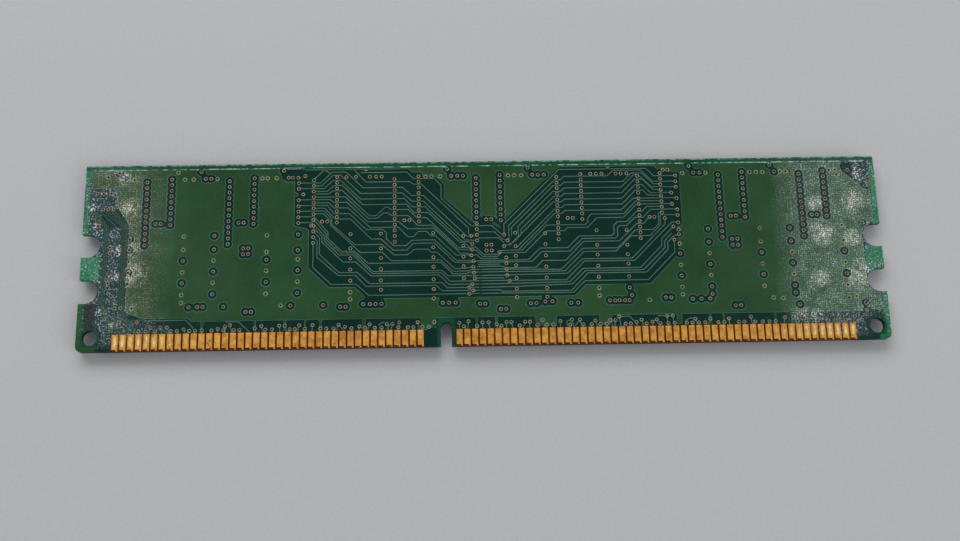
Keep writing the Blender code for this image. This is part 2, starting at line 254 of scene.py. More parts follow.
# both ends carry a painted glare: pale painted highlights and glints that show the glass cloth's weave,
# standing in for the lamps' reflection
paintedGlare = {
    # x or y where it starts and where it is full
    "left": (15.5, 7.0), "right": (115.0, 120.0), "bottom": (0.3, 1.6), "top": (31.5, 30.6),
    # its colours at the left and at the right end
    "colours": {"copper": ((0.66, 0.66, 0.50), (0.70, 0.86, 0.79)),
                "laminate": ((0.62, 0.74, 0.86), (0.62, 0.74, 0.86)),
                "trace": ((0.20, 0.28, 0.22), (0.20, 0.28, 0.22)),
                "bundle": ((0.40, 0.50, 0.44), (0.40, 0.50, 0.44)),
                "rim": ((0.66, 0.78, 0.72), (0.66, 0.78, 0.72))},
    "colourStart": 30.0, "hotSpotColour": (0.90, 0.82, 0.70),
    # the crowns of the cloth's yarns, where the painted glare glints; their spacing wanders
    "pitch": 0.36, "wanderScale": 700.0, "wanderTurn": 9.0, "crownRange": (-0.6, 0.9),
    "broad": {"scale": 420.0, "roughness": 0.6, "range": (0.36, 0.66), "least": 0.35},
    "ragged": {"scale": 900.0, "detail": 4.0, "roughness": 0.7, "range": (0.38, 0.58), "least": 0.05},
    "specks": {"scale": 3400.0, "detail": 1.0, "roughness": 0.6, "range": (0.53, 0.68)},
    # how much of the painted glare lies as an even veil, how much as glints on the crowns of the cloth, and
    # how much as specks
    "shares": {"copper": (0.07, 0.23, 0.48), "laminate": (0.04, 0.06, 0.72), "trace": (0.02, 0.03, 0.10),
               "bundle": (0.02, 0.05, 0.16), "rim": (0.14, 0.25, 0.75)},
    # hot spots where the painted glare is brightest: x, y and radius
    "patches": ((7.9, 24.2, 2.2), (9.0, 13.0, 2.6), (8.6, 17.0, 1.8), (6.4, 29.6, 1.4), (122.6, 23.6, 1.8),
                (129.0, 23.9, 2.4), (123.6, 18.2, 2.6), (128.4, 17.4, 1.8), (128.9, 10.6, 2.6),
                (122.6, 10.6, 1.9), (130.2, 28.6, 1.5), (129.5, 12.0, 2.0), (1.2, 24.4, 0.9),
                (2.5, 21.3, 1.1), (4.4, 12.0, 0.9), (6.05, 17.0, 1.2), (6.0, 12.5, 1.4), (3.3, 6.6, 1.0),
                (5.9, 4.6, 1.1), (118.5, 4.5, 1.6), (121.5, 4.2, 1.2)),
    # how much brighter the painted glare grows in its hot spots
    "thickness": 2.6,
    # rectangles of bare laminate, and rings round the corner holes, that keep only a little of the painted
    # glare
    "clean": ((0.95, 3.0, 3.8, 7.9), (8.2, 129.6, 5.2, 30.6), (-1.0, 0.9, -1.0, 8.0), (3.5, 4.4, 7.5, 20.9),
              (6.35, 7.5, 6.5, 20.9), (2.9, 7.2, 20.9, 24.1)),
    "cleanRing": 0.7, "cleanShare": 0.16,
}
# laminate that has no inner copper behind it, or none of the mask over it: a tint and its rectangles
zones = {
    "glass": ((0.012, 0.165, 0.062), ((-1.0, 0.95, 8.0, 33.0), (132.4, 134.5, -1.0, 33.0),
                                      (-1.0, 3.1, 11.8, 15.9), (130.4, 134.5, 11.8, 15.9),
                                      (131.4, 134.5, -1.0, 0.8))),
    "corner": ((0.010, 0.080, 0.016), ((-1.0, 0.95, -1.0, 8.0), (-1.0, 3.2, -1.0, 0.9))),
    "slot": ((0.008, 0.070, 0.040), ((58.6, 61.6, -1.0, 4.9),)),
    "margin": ((0.008, 0.090, 0.046), ((-1.0, 134.5, 30.9, 33.0),)),
    # bare: the laminate round and between the contacts, tinted near black with red; partly its bare colour,
    # partly painted shade between the plates
    "bare": ((0.085, 0.017, 0.004), ((5.7, 56.3, -1.0, 2.85), (61.6, 127.7, -1.0, 2.85))),
    "dark": ((0.016, 0.022, 0.020), ((0.95, 3.0, 4.0, 7.9),)),
}
zoneTones = (0.55, 1.5)
# painted highlights in dashes along the lip at the top of the pour and along the board's top edge, where they
# catch the light
lips = {
    "places": (((1.0, 132.3, 30.76, 31.02), (0.50, 0.62, 0.52)),
               ((0.2, 133.2, 31.53, 31.9), (0.22, 0.44, 0.31))),
    "dashes": {"scale": 900.0, "roughness": 0.7, "range": (0.42, 0.60)}, "soft": 0.04, "depth": (0.05, 0.01),
}
holeRing = {"colour": (0.005, 0.052, 0.026), "width": 0.45, "soft": 0.12}


def nearHoles(tree, coords, margin, soft):
    ends = (board["holeX"], boardLength - board["holeX"])
    rings = [nearness(tree, coords, x, board["holeY"], board["holeRadius"] + margin) for x in ends]
    return [ramp(tree, ring, 0.0, soft) for ring in rings]


def paintedGlareMask(tree, coords, kind):
    # how much painted glare there is, and its colour
    position = axes(tree, coords)
    fades = []
    for axis, base, sides in (("X", boardLow.x, ("left", "right")), ("Y", boardLow.y, ("bottom", "top"))):
        for start, full in (paintedGlare[side] for side in sides):
            fades.append(ramp(tree, position[axis], base + start * mm, base + full * mm))
    upper = ramp(tree, position["Z"], (frontBase + backBase) / 2, backBase - 0.1 * mm)
    ends = combined(tree, "MULTIPLY", [mathNode(tree, "MAXIMUM", fades[0], fades[1]), *fades[2:], upper])
    wander = noise(tree, coords, paintedGlare["wanderScale"], 2.0)
    crowns = []
    for axis in ("X", "Y"):
        turns = yarnTurns(tree, coords, axis, paintedGlare["pitch"])
        turns = mathNode(tree, "MULTIPLY_ADD", wander, paintedGlare["wanderTurn"], turns)
        crowns.append(ramp(tree, mathNode(tree, "SINE", turns), *paintedGlare["crownRange"]))
    crowns = mathNode(tree, "MULTIPLY", *crowns)
    # hot spots of painted glare, with ragged edges
    thick = combined(tree, "MAXIMUM", [nearness(tree, coords, *patch) for patch in paintedGlare["patches"]])
    thick = mathNode(tree, "MULTIPLY", thick, patches(tree, coords, paintedGlare["ragged"]))
    depth = mathNode(tree, "MULTIPLY_ADD", thick, paintedGlare["thickness"], patches(tree, coords, paintedGlare["broad"]))
    veil, onCrowns, asSpecks = paintedGlare["shares"][kind]
    total = mathNode(tree, "MULTIPLY_ADD", crowns, onCrowns, veil)
    total = mathNode(tree, "MULTIPLY_ADD", patches(tree, coords, paintedGlare["specks"]), asSpecks, total)
    total = mathNode(tree, "MULTIPLY", total, depth)
    if kind == "laminate":
        clean = [zoneMask(tree, coords, zone) for zone in paintedGlare["clean"]]
        clean += nearHoles(tree, coords, paintedGlare["cleanRing"], 0.15)
        clean = combined(tree, "MAXIMUM", clean)
        total = mathNode(tree, "MULTIPLY", total, ramp(tree, clean, 0.0, 1.0, 1.0, paintedGlare["cleanShare"]))
    low, high = boardLow.x + paintedGlare["colourStart"] * mm, boardHigh.x - paintedGlare["colourStart"] * mm
    tint = mixColours(tree, ramp(tree, position["X"], low, high), *paintedGlare["colours"][kind])
    tint = mixColours(tree, thick, tint, paintedGlare["hotSpotColour"])
    return mathNode(tree, "MULTIPLY", total, ends), tint


def maskMaterial(kind):
    material, tree, coords, shader = newMaterial(kind + "Mask")
    cloth = weave(tree, coords, maskLook["clothPitch"])
    grain = noise(tree, coords, maskLook["grainScale"], maskLook["grainDetail"])
    tone = patches(tree, coords, maskLook["broad"])
    tone = mathNode(tree, "MULTIPLY_ADD", cloth, maskLook["clothTone"], tone)
    tone = mathNode(tree, "MULTIPLY_ADD", grain, maskLook["grainTone"], tone)
    tone = ramp(tree, tone, *maskLook["toneRange"])
    colour = mixColours(tree, tone, *maskLook[kind])
    if kind == "laminate":
        for tint, boxes in zones.values():
            inside = combined(tree, "MAXIMUM", [zoneMask(tree, coords, box) for box in boxes])
            tones = [tuple(part * share for part in tint) for share in zoneTones]
            colour = mixColours(tree, inside, colour, mixColours(tree, tone, *tones))
    if kind in ("laminate", "rim"):
        depths = [backBase - depth * mm for depth in lips["depth"]]
        dashes = mathNode(tree, "MULTIPLY", patches(tree, coords, lips["dashes"]),
                          ramp(tree, axes(tree, coords)["Z"], *depths))
        # painted highlights in dashes along both lips
        for zone, lipHighlight in lips["places"]:
            lit = mathNode(tree, "MULTIPLY", zoneMask(tree, coords, zone, lips["soft"]), dashes)
            colour = mixColours(tree, lit, colour, lipHighlight)
        for ring in nearHoles(tree, coords, holeRing["width"], holeRing["soft"]):
            colour = mixColours(tree, ring, colour, holeRing["colour"])
    # painted glare at both ends of the back, mixed over the mask's colour
    glare, tint = paintedGlareMask(tree, coords, kind)
    tree.links.new(mixColours(tree, glare, colour, tint), shader.inputs["Base Color"])
    rough, spread = maskLook["roughness"], maskLook["roughnessSpread"]
    tree.links.new(ramp(tree, grain, 0.3, 0.7, rough - spread, rough + spread), shader.inputs["Roughness"])
    shader.inputs["Specular IOR Level"].default_value = maskLook["specular"]
    shader.inputs["Coat Weight"].default_value = maskLook["coat"]
    shader.inputs["Coat Roughness"].default_value = maskLook["coatRoughness"]
    height = mathNode(tree, "MULTIPLY_ADD", grain, maskLook["grainHeight"], cloth)
    normal = bumpNode(tree, height, maskLook["bump"][kind], maskLook["bumpDistance"] * mm)
    tree.links.new(normal, shader.inputs["Normal"])
    tree.links.new(normal, shader.inputs["Coat Normal"])
    return material


def plainMaterial(name, dark, light, metallic, rough, scale, bump=0.1, spread=0.08):
    material, tree, coords, shader = newMaterial(name)
    fine = noise(tree, coords, scale)
    tree.links.new(mixColours(tree, ramp(tree, fine, 0.35, 0.65), dark, light), shader.inputs["Base Color"])
    tree.links.new(ramp(tree, fine, 0.3, 0.7, rough - spread, rough + spread), shader.inputs["Roughness"])
    shader.inputs["Metallic"].default_value = metallic
    tree.links.new(bumpNode(tree, fine, bump, 0.01 * mm), shader.inputs["Normal"])
    return material


goldLook = {
    "dark": (0.61, 0.252, 0.034), "light": (0.90, 0.445, 0.080), "metallic": 0.55, "roughness": 0.34,
    "grain": 1100.0, "bump": 0.3,
    # near the ends of the board a painted highlight, a bright bar, lies along the middle of each contact,
    # standing in for the glare lamps' reflection in the gold
    "highlightColour": (1.0, 0.92, 0.42), "barPitch": 1.27, "barRange": (0.25, 0.9), "leftEnd": (21.0, 9.0),
    "rightEnd": (112.0, 122.0), "barZone": (0.0, 134.0, 0.75, 2.35), "barSoft": 0.3,
    "flecks": {"scale": 1500.0, "detail": 2.0, "range": (0.35, 0.62), "least": 0.25},
}


def goldMaterial():
    values = [goldLook[key] for key in ("dark", "light", "metallic", "roughness", "grain", "bump")]
    material = plainMaterial("goldPlate", *values)
    tree = material.node_tree
    shader = tree.nodes["Principled BSDF"]
    coords = tree.nodes.new("ShaderNodeTexCoord").outputs["Object"]
    along = axes(tree, coords)["X"]
    fromEnd = mathNode(tree, "SUBTRACT", along, boardLow.x)
    turns = mathNode(tree, "MULTIPLY", fromEnd, 2 * math.pi / (goldLook["barPitch"] * mm))
    bars = ramp(tree, mathNode(tree, "COSINE", turns), *goldLook["barRange"])
    ends = []
    for side in ("leftEnd", "rightEnd"):
        start, full = goldLook[side]
        ends.append(ramp(tree, along, boardLow.x + start * mm, boardLow.x + full * mm))
    ends = mathNode(tree, "MAXIMUM", *ends)
    band = zoneMask(tree, coords, goldLook["barZone"], goldLook["barSoft"])
    flecks = patches(tree, coords, goldLook["flecks"])
    # the painted highlight on the contacts near the ends
    lit = combined(tree, "MULTIPLY", [bars, ends, band, flecks])
    base = shader.inputs["Base Color"].links[0].from_socket
    tree.links.new(mixColours(tree, lit, base, goldLook["highlightColour"]), shader.inputs["Base Color"])
    return material


copperMask = maskMaterial("copper")
laminateMask = maskMaterial("laminate")
traceMask = maskMaterial("trace")
bundleMask = maskMaterial("bundle")
rimHighlightMask = maskMaterial("rim")
finishes = {
    # dark and light tone, metallic, roughness, grain per metre, bump
    "viaCopper": ((0.23, 0.185, 0.115), (0.46, 0.395, 0.265), 0.0, 0.42, 1800.0, 0.2),
    "viaGreen": ((0.22, 0.20, 0.06), (0.50, 0.44, 0.16), 0.0, 0.42, 1800.0, 0.2),
    # the walls inside the via holes: near black, painted shade deep in the holes
    "viaHoleShade": ((0.012, 0.008, 0.006), (0.030, 0.018, 0.012), 0.0, 0.6, 1800.0, 0.1),
    "innerCopper": ((0.50, 0.22, 0.11), (0.70, 0.34, 0.20), 1.0, 0.40, 700.0, 0.1),
    "solder": ((0.50, 0.50, 0.49), (0.78, 0.78, 0.76), 0.9, 0.32, 1500.0, 0.4),
    "mouldBlack": ((0.010, 0.010, 0.011), (0.024, 0.024, 0.026), 0.0, 0.62, 3500.0, 0.6),
    "ceramicWhite": ((0.60, 0.58, 0.54), (0.74, 0.72, 0.68), 0.0, 0.55, 1500.0, 0.2),
    "glazeBlack": ((0.012, 0.012, 0.014), (0.030, 0.030, 0.032), 0.0, 0.28, 900.0, 0.1),
    "capacitorTan": ((0.24, 0.14, 0.08), (0.36, 0.23, 0.14), 0.0, 0.45, 1500.0, 0.2),
    "siliconGrey": ((0.16, 0.17, 0.20), (0.24, 0.25, 0.29), 0.8, 0.22, 500.0, 0.1),
}
looks = {name: plainMaterial(name, *values) for name, values in finishes.items()}
looks["goldPlate"] = goldMaterial()
print("stage: materials")

# outlines on the board: lists of (x, y)


def arc(centre, radius, start, end, steps):
    angles = [math.radians(start + (end - start) * i / steps) for i in range(steps + 1)]
    return [(centre[0] + radius * math.cos(a), centre[1] + radius * math.sin(a)) for a in angles]


def circle(x, y, radius, steps=16):
    return arc((x, y), radius, 0, 360, steps)[:-1]


def mirrored(points):
    return [(boardLength - x, y) for x, y in reversed(points)]


def rightEnd(inset=0.0, bottom=0.0, corner=0.3):
    # the outline of the right end with its notches, from the lower corner up, moved in by the inset
    edge = boardLength - inset
    top = boardHeight - inset
    points = arc((edge - corner, bottom + corner), corner, 270, 360, 6)
    radius = board["notchRadius"] + inset
    centre = boardLength - board["notchDepth"] + board["notchRadius"]
    past = max(0.0, centre - edge)
    turn = math.degrees(math.asin(past / radius))
    for height in board["notchHeights"]:
        notch = arc((centre, height), radius, 270 - turn, 90 + turn, board["arcSteps"])
        points += notch if past > 0 else [(edge, height - radius), *notch, (edge, height + radius)]
    corner = board["upperCorner"]
    return points + arc((edge - corner, top - corner), corner, 0, 90, 4)


def boardOutline():
    right = rightEnd(corner=board["lowerCorner"])
    radius = board["keyWidth"] / 2
    slot = arc((board["keyX"], board["keyDepth"] - radius), radius, 180, 0, board["arcSteps"])
    return right + mirrored(right) + [(slot[0][0], 0.0), *slot, (slot[-1][0], 0.0)]


def cornerHoles():
    ends = (board["holeX"], boardLength - board["holeX"])
    return [circle(x, board["holeY"], board["holeRadius"], board["holeSteps"]) for x in ends]


rimSlope = 0.15


def flatSheet(name, outlines, holes, low, high, material, rim=0.0, outerUp=True):
    # fills the outlines, leaves out the holes wherever they cross, and raises the sheet between two
    # heights; a rim makes its outer face step up a little inside the edges
    loops = [list(loop) for loop in (*outlines, *holes)]
    points, faces = [], []
    for loop in loops:
        area = sum(a[0] * b[1] - b[0] * a[1] for a, b in zip(loop, loop[1:] + loop[:1]))
        loop = loop if area > 0 else loop[::-1]
        faces.append(list(range(len(points), len(points) + len(loop))))
        points += [Vector(point) for point in loop]
    verts, _, triangles, _, _, sources = delaunay_2d_cdt(points, [], faces, 0, 1e-5)
    work = bmesh.new()
    base = low if outerUp else high
    corners = [work.verts.new(place(point.x, point.y, base)) for point in verts]
    for triangle, owners in zip(triangles, sources):
        if owners and all(owner < len(outlines) for owner in owners):
            work.faces.new([corners[i] for i in triangle])
    loose = [vert for vert in work.verts if not vert.link_faces]
    bmesh.ops.delete(work, geom=loose, context="VERTS")
    mesh = bpy.data.meshes.new(name)
    work.to_mesh(mesh)
    work.free()
    sheet = addObject(name, mesh)
    mesh.materials.append(material)
    # the rim's faces take the rim material, whose lighter colour is a painted highlight along every edge
    if rim:
        mesh.materials.append(rimHighlightMask)
    choose(sheet)
    editMode()
    rise = (high - low) if outerUp else (low - high)
    bpy.ops.mesh.extrude_region_move(TRANSFORM_OT_translate={"value": (0, 0, rise)})
    if rim:
        bpy.ops.mesh.select_mode(type="FACE")
        bpy.ops.mesh.inset(thickness=rim * mm, depth=0.0, use_even_offset=False)
        bpy.ops.transform.translate(value=(0, 0, rim * rimSlope * mm * (1 if outerUp else -1)))
        bpy.ops.mesh.select_all(action="INVERT")
        sheet.active_material_index = 1
        bpy.ops.object.material_slot_assign()
        bpy.ops.mesh.select_mode(type="VERT")
    faceOutwards()
    return sheet


def ridgeLines(name, paths, width, height, level, material):
    # thin tracks half sunk in the board's face, with soft shoulders
    curve = bpy.data.curves.new(name, "CURVE")
    curve.dimensions = "3D"
    curve.bevel_depth = width / 2 * mm
    curve.bevel_resolution = 1
    curve.use_fill_caps = True
    for path in paths:
        spline = curve.splines.new("POLY")
        spline.points.add(len(path) - 1)
        for point, (x, y) in zip(spline.points, path):
            point.co = (*place(x, y), 1.0)
    choose(addObject(name, curve))
    bpy.ops.object.convert(target="MESH")
    lines = bpy.context.object
    lines.scale.z = height / (width / 2)
    lines.location.z = level
    settle(lines)
    editMode()
    bpy.ops.mesh.remove_doubles(threshold=1e-8)
    faceOutwards()
    bpy.ops.object.shade_smooth_by_angle(angle=math.radians(50))
    lines.name = name
    lines.data.materials.clear()
    lines.data.materials.append(material)
    return lines


def manyCopies(name, pattern, spots):
    # one mesh that holds a copy of the pattern at each spot, which is (x, y, turn in degrees)
    work = bmesh.new()
    for x, y, turn in spots:
        first = len(work.verts)
        work.from_mesh(pattern.data)
        work.verts.ensure_lookup_table()
        move = Matrix.Translation(place(x, y)) @ Matrix.Rotation(math.radians(turn), 4, "Z")
        bmesh.ops.transform(work, matrix=move, verts=work.verts[first:])
    mesh = bpy.data.meshes.new(name)
    work.to_mesh(mesh)
    work.free()
    for material in pattern.data.materials:
        mesh.materials.append(material)
    return addObject(name, mesh)


# where the vias are
vias = {
    "hole": 0.215, "ring": 0.305, "clear": 0.75, "steps": 12,
    # the barrel's wall stands in a little from the hole, and each ring sinks a little into the mask
    "wallGap": 0.004, "barrelGap": 0.02, "ringSink": 0.012, "faceSink": 0.004,
    # vias this far from the board's middle belong to its ends
    "endsFrom": 40.0,
}
siteCentres = [12.42 + 13.75 * i for i in range(9)]
bareSite = 4


def column(x, top, count):
    # vias a millimetre apart, from the top one down
    return [(x, top - i) for i in range(count)]


def across(y, *xs):
    return [(x, y) for x in xs]


def down(x, *ys):
    return [(x, y) for y in ys]


# vias that stand clear of the pour; neighbours share one long clearance
clearVias = (
    column(10.3, 28.75, 12) + column(14.4, 29.22, 9) + column(24.05, 28.75, 12) + column(28.2, 29.22, 9)
    + column(106.55, 28.75, 12) + column(110.65, 29.22, 9) + column(120.35, 28.75, 12)
    + column(124.5, 29.22, 9) + across(21.45, 11.97, 12.82, 25.72, 26.57, 108.22, 109.07, 121.97, 122.82)
    + column(65.4, 28.75, 8) + column(69.45, 29.22, 9)
    + across(17.0, 26.6, 27.45) + across(16.0, 26.6, 27.45)
    + across(17.4, 108.15, 109.05) + across(16.35, 108.15, 109.05)
    + down(7.85, 18.8, 17.0, 13.1) + down(16.75, 15.0, 11.2) + down(21.8, 19.25, 16.9, 13.1, 9.25)
    + down(30.5, 15.0, 11.2) + down(35.65, 19.25, 16.55, 13.1, 9.25) + down(90.5, 9.3) + [(90.8, 8.0)]
    + down(99.25, 15.0, 11.2) + down(104.2, 19.2, 16.95, 13.1, 9.25, 8.0) + down(112.95, 15.0, 11.2)
    + down(118.05, 19.2, 16.9, 13.1, 9.25, 8.0) + [(118.6, 6.0)] + down(126.9, 15.05, 11.15)
    + [(5.6, 30.4), (6.65, 29.2), (19.25, 30.5), (33.1, 30.5), (60.6, 30.45), (74.25, 30.45), (101.65, 30.4)]
    + [(115.5, 30.4), (116.2, 29.2), (102.4, 29.2), (103.45, 29.2)]
    + across(29.25, 20.0, 20.95, 33.9, 34.6) + across(29.2, 61.25, 62.3, 63.25, 75.0, 75.95, 76.95)
    + across(7.15, 18.0, 19.4, 20.3, 34.6, 39.95) + [(23.65, 7.1)] + across(6.2, 27.3, 28.2)
    + across(6.8, 42.75, 43.6) + across(7.2, 46.5, 47.6, 48.5, 49.5, 59.55, 60.6, 61.65)
    + across(6.95, 65.7, 66.55) + across(6.0, 69.1, 69.95) + across(6.9, 74.05, 74.95)
    + across(7.15, 76.45, 77.6) + [(76.8, 7.95)] + across(6.85, 80.7, 81.85)
    + across(7.15, 87.1, 88.0, 88.7, 89.6, 90.35) + across(7.5, 96.4, 97.3)
    + across(7.2, 100.85, 102.3, 103.75) + across(6.0, 107.9, 108.8) + [(130.4, 19.9)]
    + [(2.1, 26.9), (4.4, 26.9), (9.7, 4.8), (129.6, 6.1), (129.65, 4.85)]
)
# vias that the pour runs right up to
pourVias = (
    down(7.85, 15.0, 11.2) + down(16.75, 19.2, 16.9, 13.05, 9.2, 7.9) + down(21.8, 15.0, 11.2)
    + down(30.5, 19.2, 16.35, 13.1, 9.2) + down(35.65, 15.0, 11.2) + down(44.35, 9.25, 8.05)
    + down(58.1, 8.0) + down(71.8, 8.0) + down(76.8, 9.45) + down(85.45, 9.3, 8.0)
    + down(99.25, 19.15, 16.7, 13.05, 9.25, 8.0) + down(104.2, 15.0, 11.2)
    + down(112.95, 19.2, 16.85, 13.05, 9.2) + down(118.05, 15.0, 11.2)
    + down(126.9, 19.55, 16.9, 13.1, 9.2, 7.0) + [(3.75, 29.75), (8.1, 29.2), (15.4, 30.4), (33.0, 7.2)]
    + across(29.15, 16.55, 18.0, 56.9, 57.9, 59.4, 70.85, 71.9, 73.1, 100.5, 104.45, 112.0, 113.1, 114.2)
    + across(29.2, 21.95, 29.5, 30.4, 31.9, 35.55, 117.2, 118.2) + across(29.75, 97.25, 98.0)
    + [(125.6, 29.35), (126.65, 29.4), (126.85, 28.55), (93.7, 7.15), (114.3, 7.2), (115.9, 7.1)]
    + across(7.2, 128.15) + across(7.1, 8.8)
)
# vias among the traces, where there is no pour
openVias = (
    column(38.15, 28.75, 12) + column(42.05, 29.22, 9) + column(51.7, 28.75, 12) + column(55.75, 29.22, 9)
    + column(65.4, 20.75, 4) + column(79.05, 28.75, 12)
    + column(83.15, 29.22, 9) + column(92.8, 28.75, 12) + column(96.65, 29.2, 8)
    + across(21.45, 39.6, 40.45, 53.3, 54.15, 67.0, 67.85, 80.7, 81.55, 94.5, 95.3) + [(37.8, 20.75)]
    + down(35.65, 28.25, 27.25, 25.25, 24.2, 23.25, 22.25, 21.25) + [(36.4, 26.25), (36.7, 29.5)]
    + [(46.9, 30.55), (87.9, 30.55)]
    + across(29.22, 43.6, 45.2, 47.55, 48.6, 49.55, 84.85, 85.8, 86.75, 89.15, 90.0, 91.0)
    + down(44.35, 19.2, 16.75, 15.0, 13.1, 11.2) + down(49.4, 19.2, 16.65, 15.0, 13.1, 11.2, 9.55)
    + down(58.1, 19.2, 16.7, 15.0, 13.35, 11.2, 9.55) + down(63.1, 18.6, 16.9, 15.0, 13.35, 11.3)
    + down(71.8, 19.0, 16.7, 15.0, 13.4, 11.2, 9.4) + down(76.8, 18.85, 16.95, 15.0, 13.1, 11.2)
    + down(85.45, 19.25, 16.7, 15.0, 13.1, 11.2) + down(90.5, 19.2, 16.65, 15.0, 13.35, 11.2)
    + across(17.0, 66.95, 67.8) + across(16.0, 66.95, 67.8)
    + [(64.45, 18.6), (64.6, 17.2), (64.55, 16.2), (64.4, 15.2), (64.75, 14.25), (64.7, 13.25), (64.8, 12.25)]
    + [(64.9, 11.25), (64.45, 10.25), (63.95, 9.7), (64.6, 9.2), (63.95, 8.65), (69.95, 18.7), (70.5, 17.7)]
    + [(69.9, 16.75), (69.1, 15.7)] + down(70.2, 14.75, 13.75, 12.75) + [(70.25, 11.7), (70.65, 10.75)]
    + down(99.25, 28.75, 27.7, 26.7, 24.7, 22.7, 21.7, 20.4, 18.35) + [(97.05, 21.2)]
    + down(98.43, 25.7, 23.7, 19.7, 17.4)
    + across(24.1, 3.2, 4.05, 4.9) + down(4.7, 17.5, 16.5) + down(4.65, 11.4, 10.6)
    + [(3.15, 26.8), (2.5, 21.2)]
    + [(5.3, 9.2), (6.0, 7.15), (7.0, 7.15)] + down(4.5, 6.5, 5.4) + [(6.9, 4.8), (128.8, 29.3)]
    + [(132.1, 27.2), (132.05, 26.5), (132.0, 24.7), (132.0, 23.75), (131.6, 22.6), (131.65, 21.6)]
)
# vias just above the contacts
contactVias = across(
    3.2, 10.1, 11.25, 12.8, 15.3, 16.3, 18.3, 19.2, 20.3, 21.9, 23.8, 25.5, 26.4, 30.6, 31.7, 34.55, 35.4,
    37.0, 39.55, 40.5, 41.7, 44.6, 46.85, 48.4, 49.5, 52.25, 53.8, 54.7, 56.15, 57.25, 62.95, 65.1,
    69.1, 72.1, 75.0, 76.5, 77.6, 80.4, 82.55, 83.9, 85.35, 86.4, 89.5, 90.35, 92.95, 95.25, 96.55,
    97.6, 99.6, 100.55, 101.6, 102.65, 104.8, 105.8, 108.2, 109.1, 110.9, 112.15, 113.25, 114.3,
    117.95, 119.35, 121.25, 123.0, 124.2, 125.9, 128.6)
contactVias += across(
    3.8, 12.0, 13.6, 14.65, 24.05, 29.95, 32.85, 33.75, 36.1, 38.25, 42.5, 47.55, 50.4, 51.3, 62.2, 66.0,
    67.0, 69.95, 70.75, 73.0, 73.8, 78.8, 84.55, 87.0, 87.85, 92.15, 94.65, 101.05, 103.5, 106.6, 115.9,
    117.25, 119.95, 122.0, 124.85, 127.5)
contactVias += across(3.45, 17.4, 22.9, 28.9, 43.55, 45.9, 68.35, 91.3, 93.95)
contactVias += across(4.02, 24.85, 52.4, 55.4, 58.15, 63.7, 75.85, 80.7, 82.0, 110.25)
contactVias += across(4.4, 88.5, 96.4, 97.35)
allVias = clearVias + pourVias + openVias + contactVias
print("stage:", len(allVias), "vias placed")

# the board's layers, drilled through
drilled = cornerHoles() + [circle(x, y, vias["hole"], vias["steps"]) for x, y in allVias]
layers = {"core_laminate": "coreLayer", "back_prepreg": "backLayer", "front_prepreg": "frontLayer"}
for node, name in layers.items():
    low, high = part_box(node)
    up = node != "front_prepreg"
    layer = flatSheet(name, [boardOutline()], drilled, low.z, high.z, laminateMask, outerUp=up)
    finishPiece(layer, "laminate", node)
print("stage: board layers")

# copper that stays back from the board's edges: the two inner planes and the pour on the front
planeLook = {"inset": 0.9, "start": 4.8, "clear": 0.26, "clearSteps": 8, "keepOff": (1.6, 5.2)}
planeEnd = rightEnd(planeLook["inset"], planeLook["start"])
planeOutline = planeEnd + mirrored(planeEnd)
sideGap, lowest = planeLook["keepOff"]
inside = [(x, y) for x, y in allVias if y > lowest and sideGap < x < boardLength - sideGap]
for node, name in (("ground_plane", "groundPlane"), ("power_plane", "powerPlane")):
    low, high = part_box(node)
    holes = [circle(x, y, planeLook["clear"], planeLook["clearSteps"]) for x, y in inside]
    plane = flatSheet(name, [planeOutline], holes, low.z, high.z, looks["innerCopper"])
    finishPiece(plane, "inner_copper", node)
print("stage: inner planes")

# the pour on the back, and the part of it that is left open for the traces
tracesField = [
    (33.0, 28.9), (33.9, 28.55), (35.0, 28.7), (35.0, 26.7), (35.6, 26.4), (35.6, 26.0), (35.0, 25.8),
    (35.0, 20.9), (35.4, 20.6), (37.1, 20.3), (37.45, 19.9), (37.45, 13.45), (40.9, 10.1), (45.15, 10.1),
    (47.1, 8.15), (59.0, 8.1), (75.9, 8.1), (81.4, 8.1), (83.2, 9.95), (94.0, 9.95), (98.7, 14.65),
    (98.95, 15.6), (98.95, 17.7), (99.9, 17.9), (99.9, 18.8), (98.95, 19.0), (98.95, 19.6), (99.9, 20.0),
    (99.9, 29.3), (98.6, 29.4), (96.2, 29.9), (95.6, 30.5), (79.5, 30.5), (70.15, 21.15), (69.2, 20.6),
    (68.4, 21.9), (66.4, 22.15), (65.4, 20.6), (64.75, 20.95),
    (60.0, 25.3), (60.0, 27.8), (58.8, 29.0), (56.4, 29.0), (56.3, 29.9), (54.7, 29.9), (54.0, 30.5),
    (36.9, 30.5), (36.2, 30.8), (33.4, 30.85), (32.5, 30.6), (32.6, 30.0),
]
fieldBays = [
    [(45.9, 6.9), (46.5, 6.52), (49.5, 6.52), (50.15, 7.0), (50.1, 7.6), (49.6, 8.4), (46.9, 8.4),
     (46.4, 7.88), (45.9, 7.5)],
    [(59.0, 6.85), (59.5, 6.5), (61.7, 6.5), (62.3, 7.0), (62.0, 8.4), (59.0, 8.4)],
    [(75.8, 7.0), (76.3, 6.5), (77.7, 6.5), (78.3, 7.1), (77.4, 8.4), (75.9, 8.4)],
    [(27.6, 16.9), (26.5, 16.9), (26.5, 16.1), (27.6, 16.1)],
    [(109.1, 17.2), (108.1, 17.2), (108.1, 16.4), (109.1, 16.4)],
]
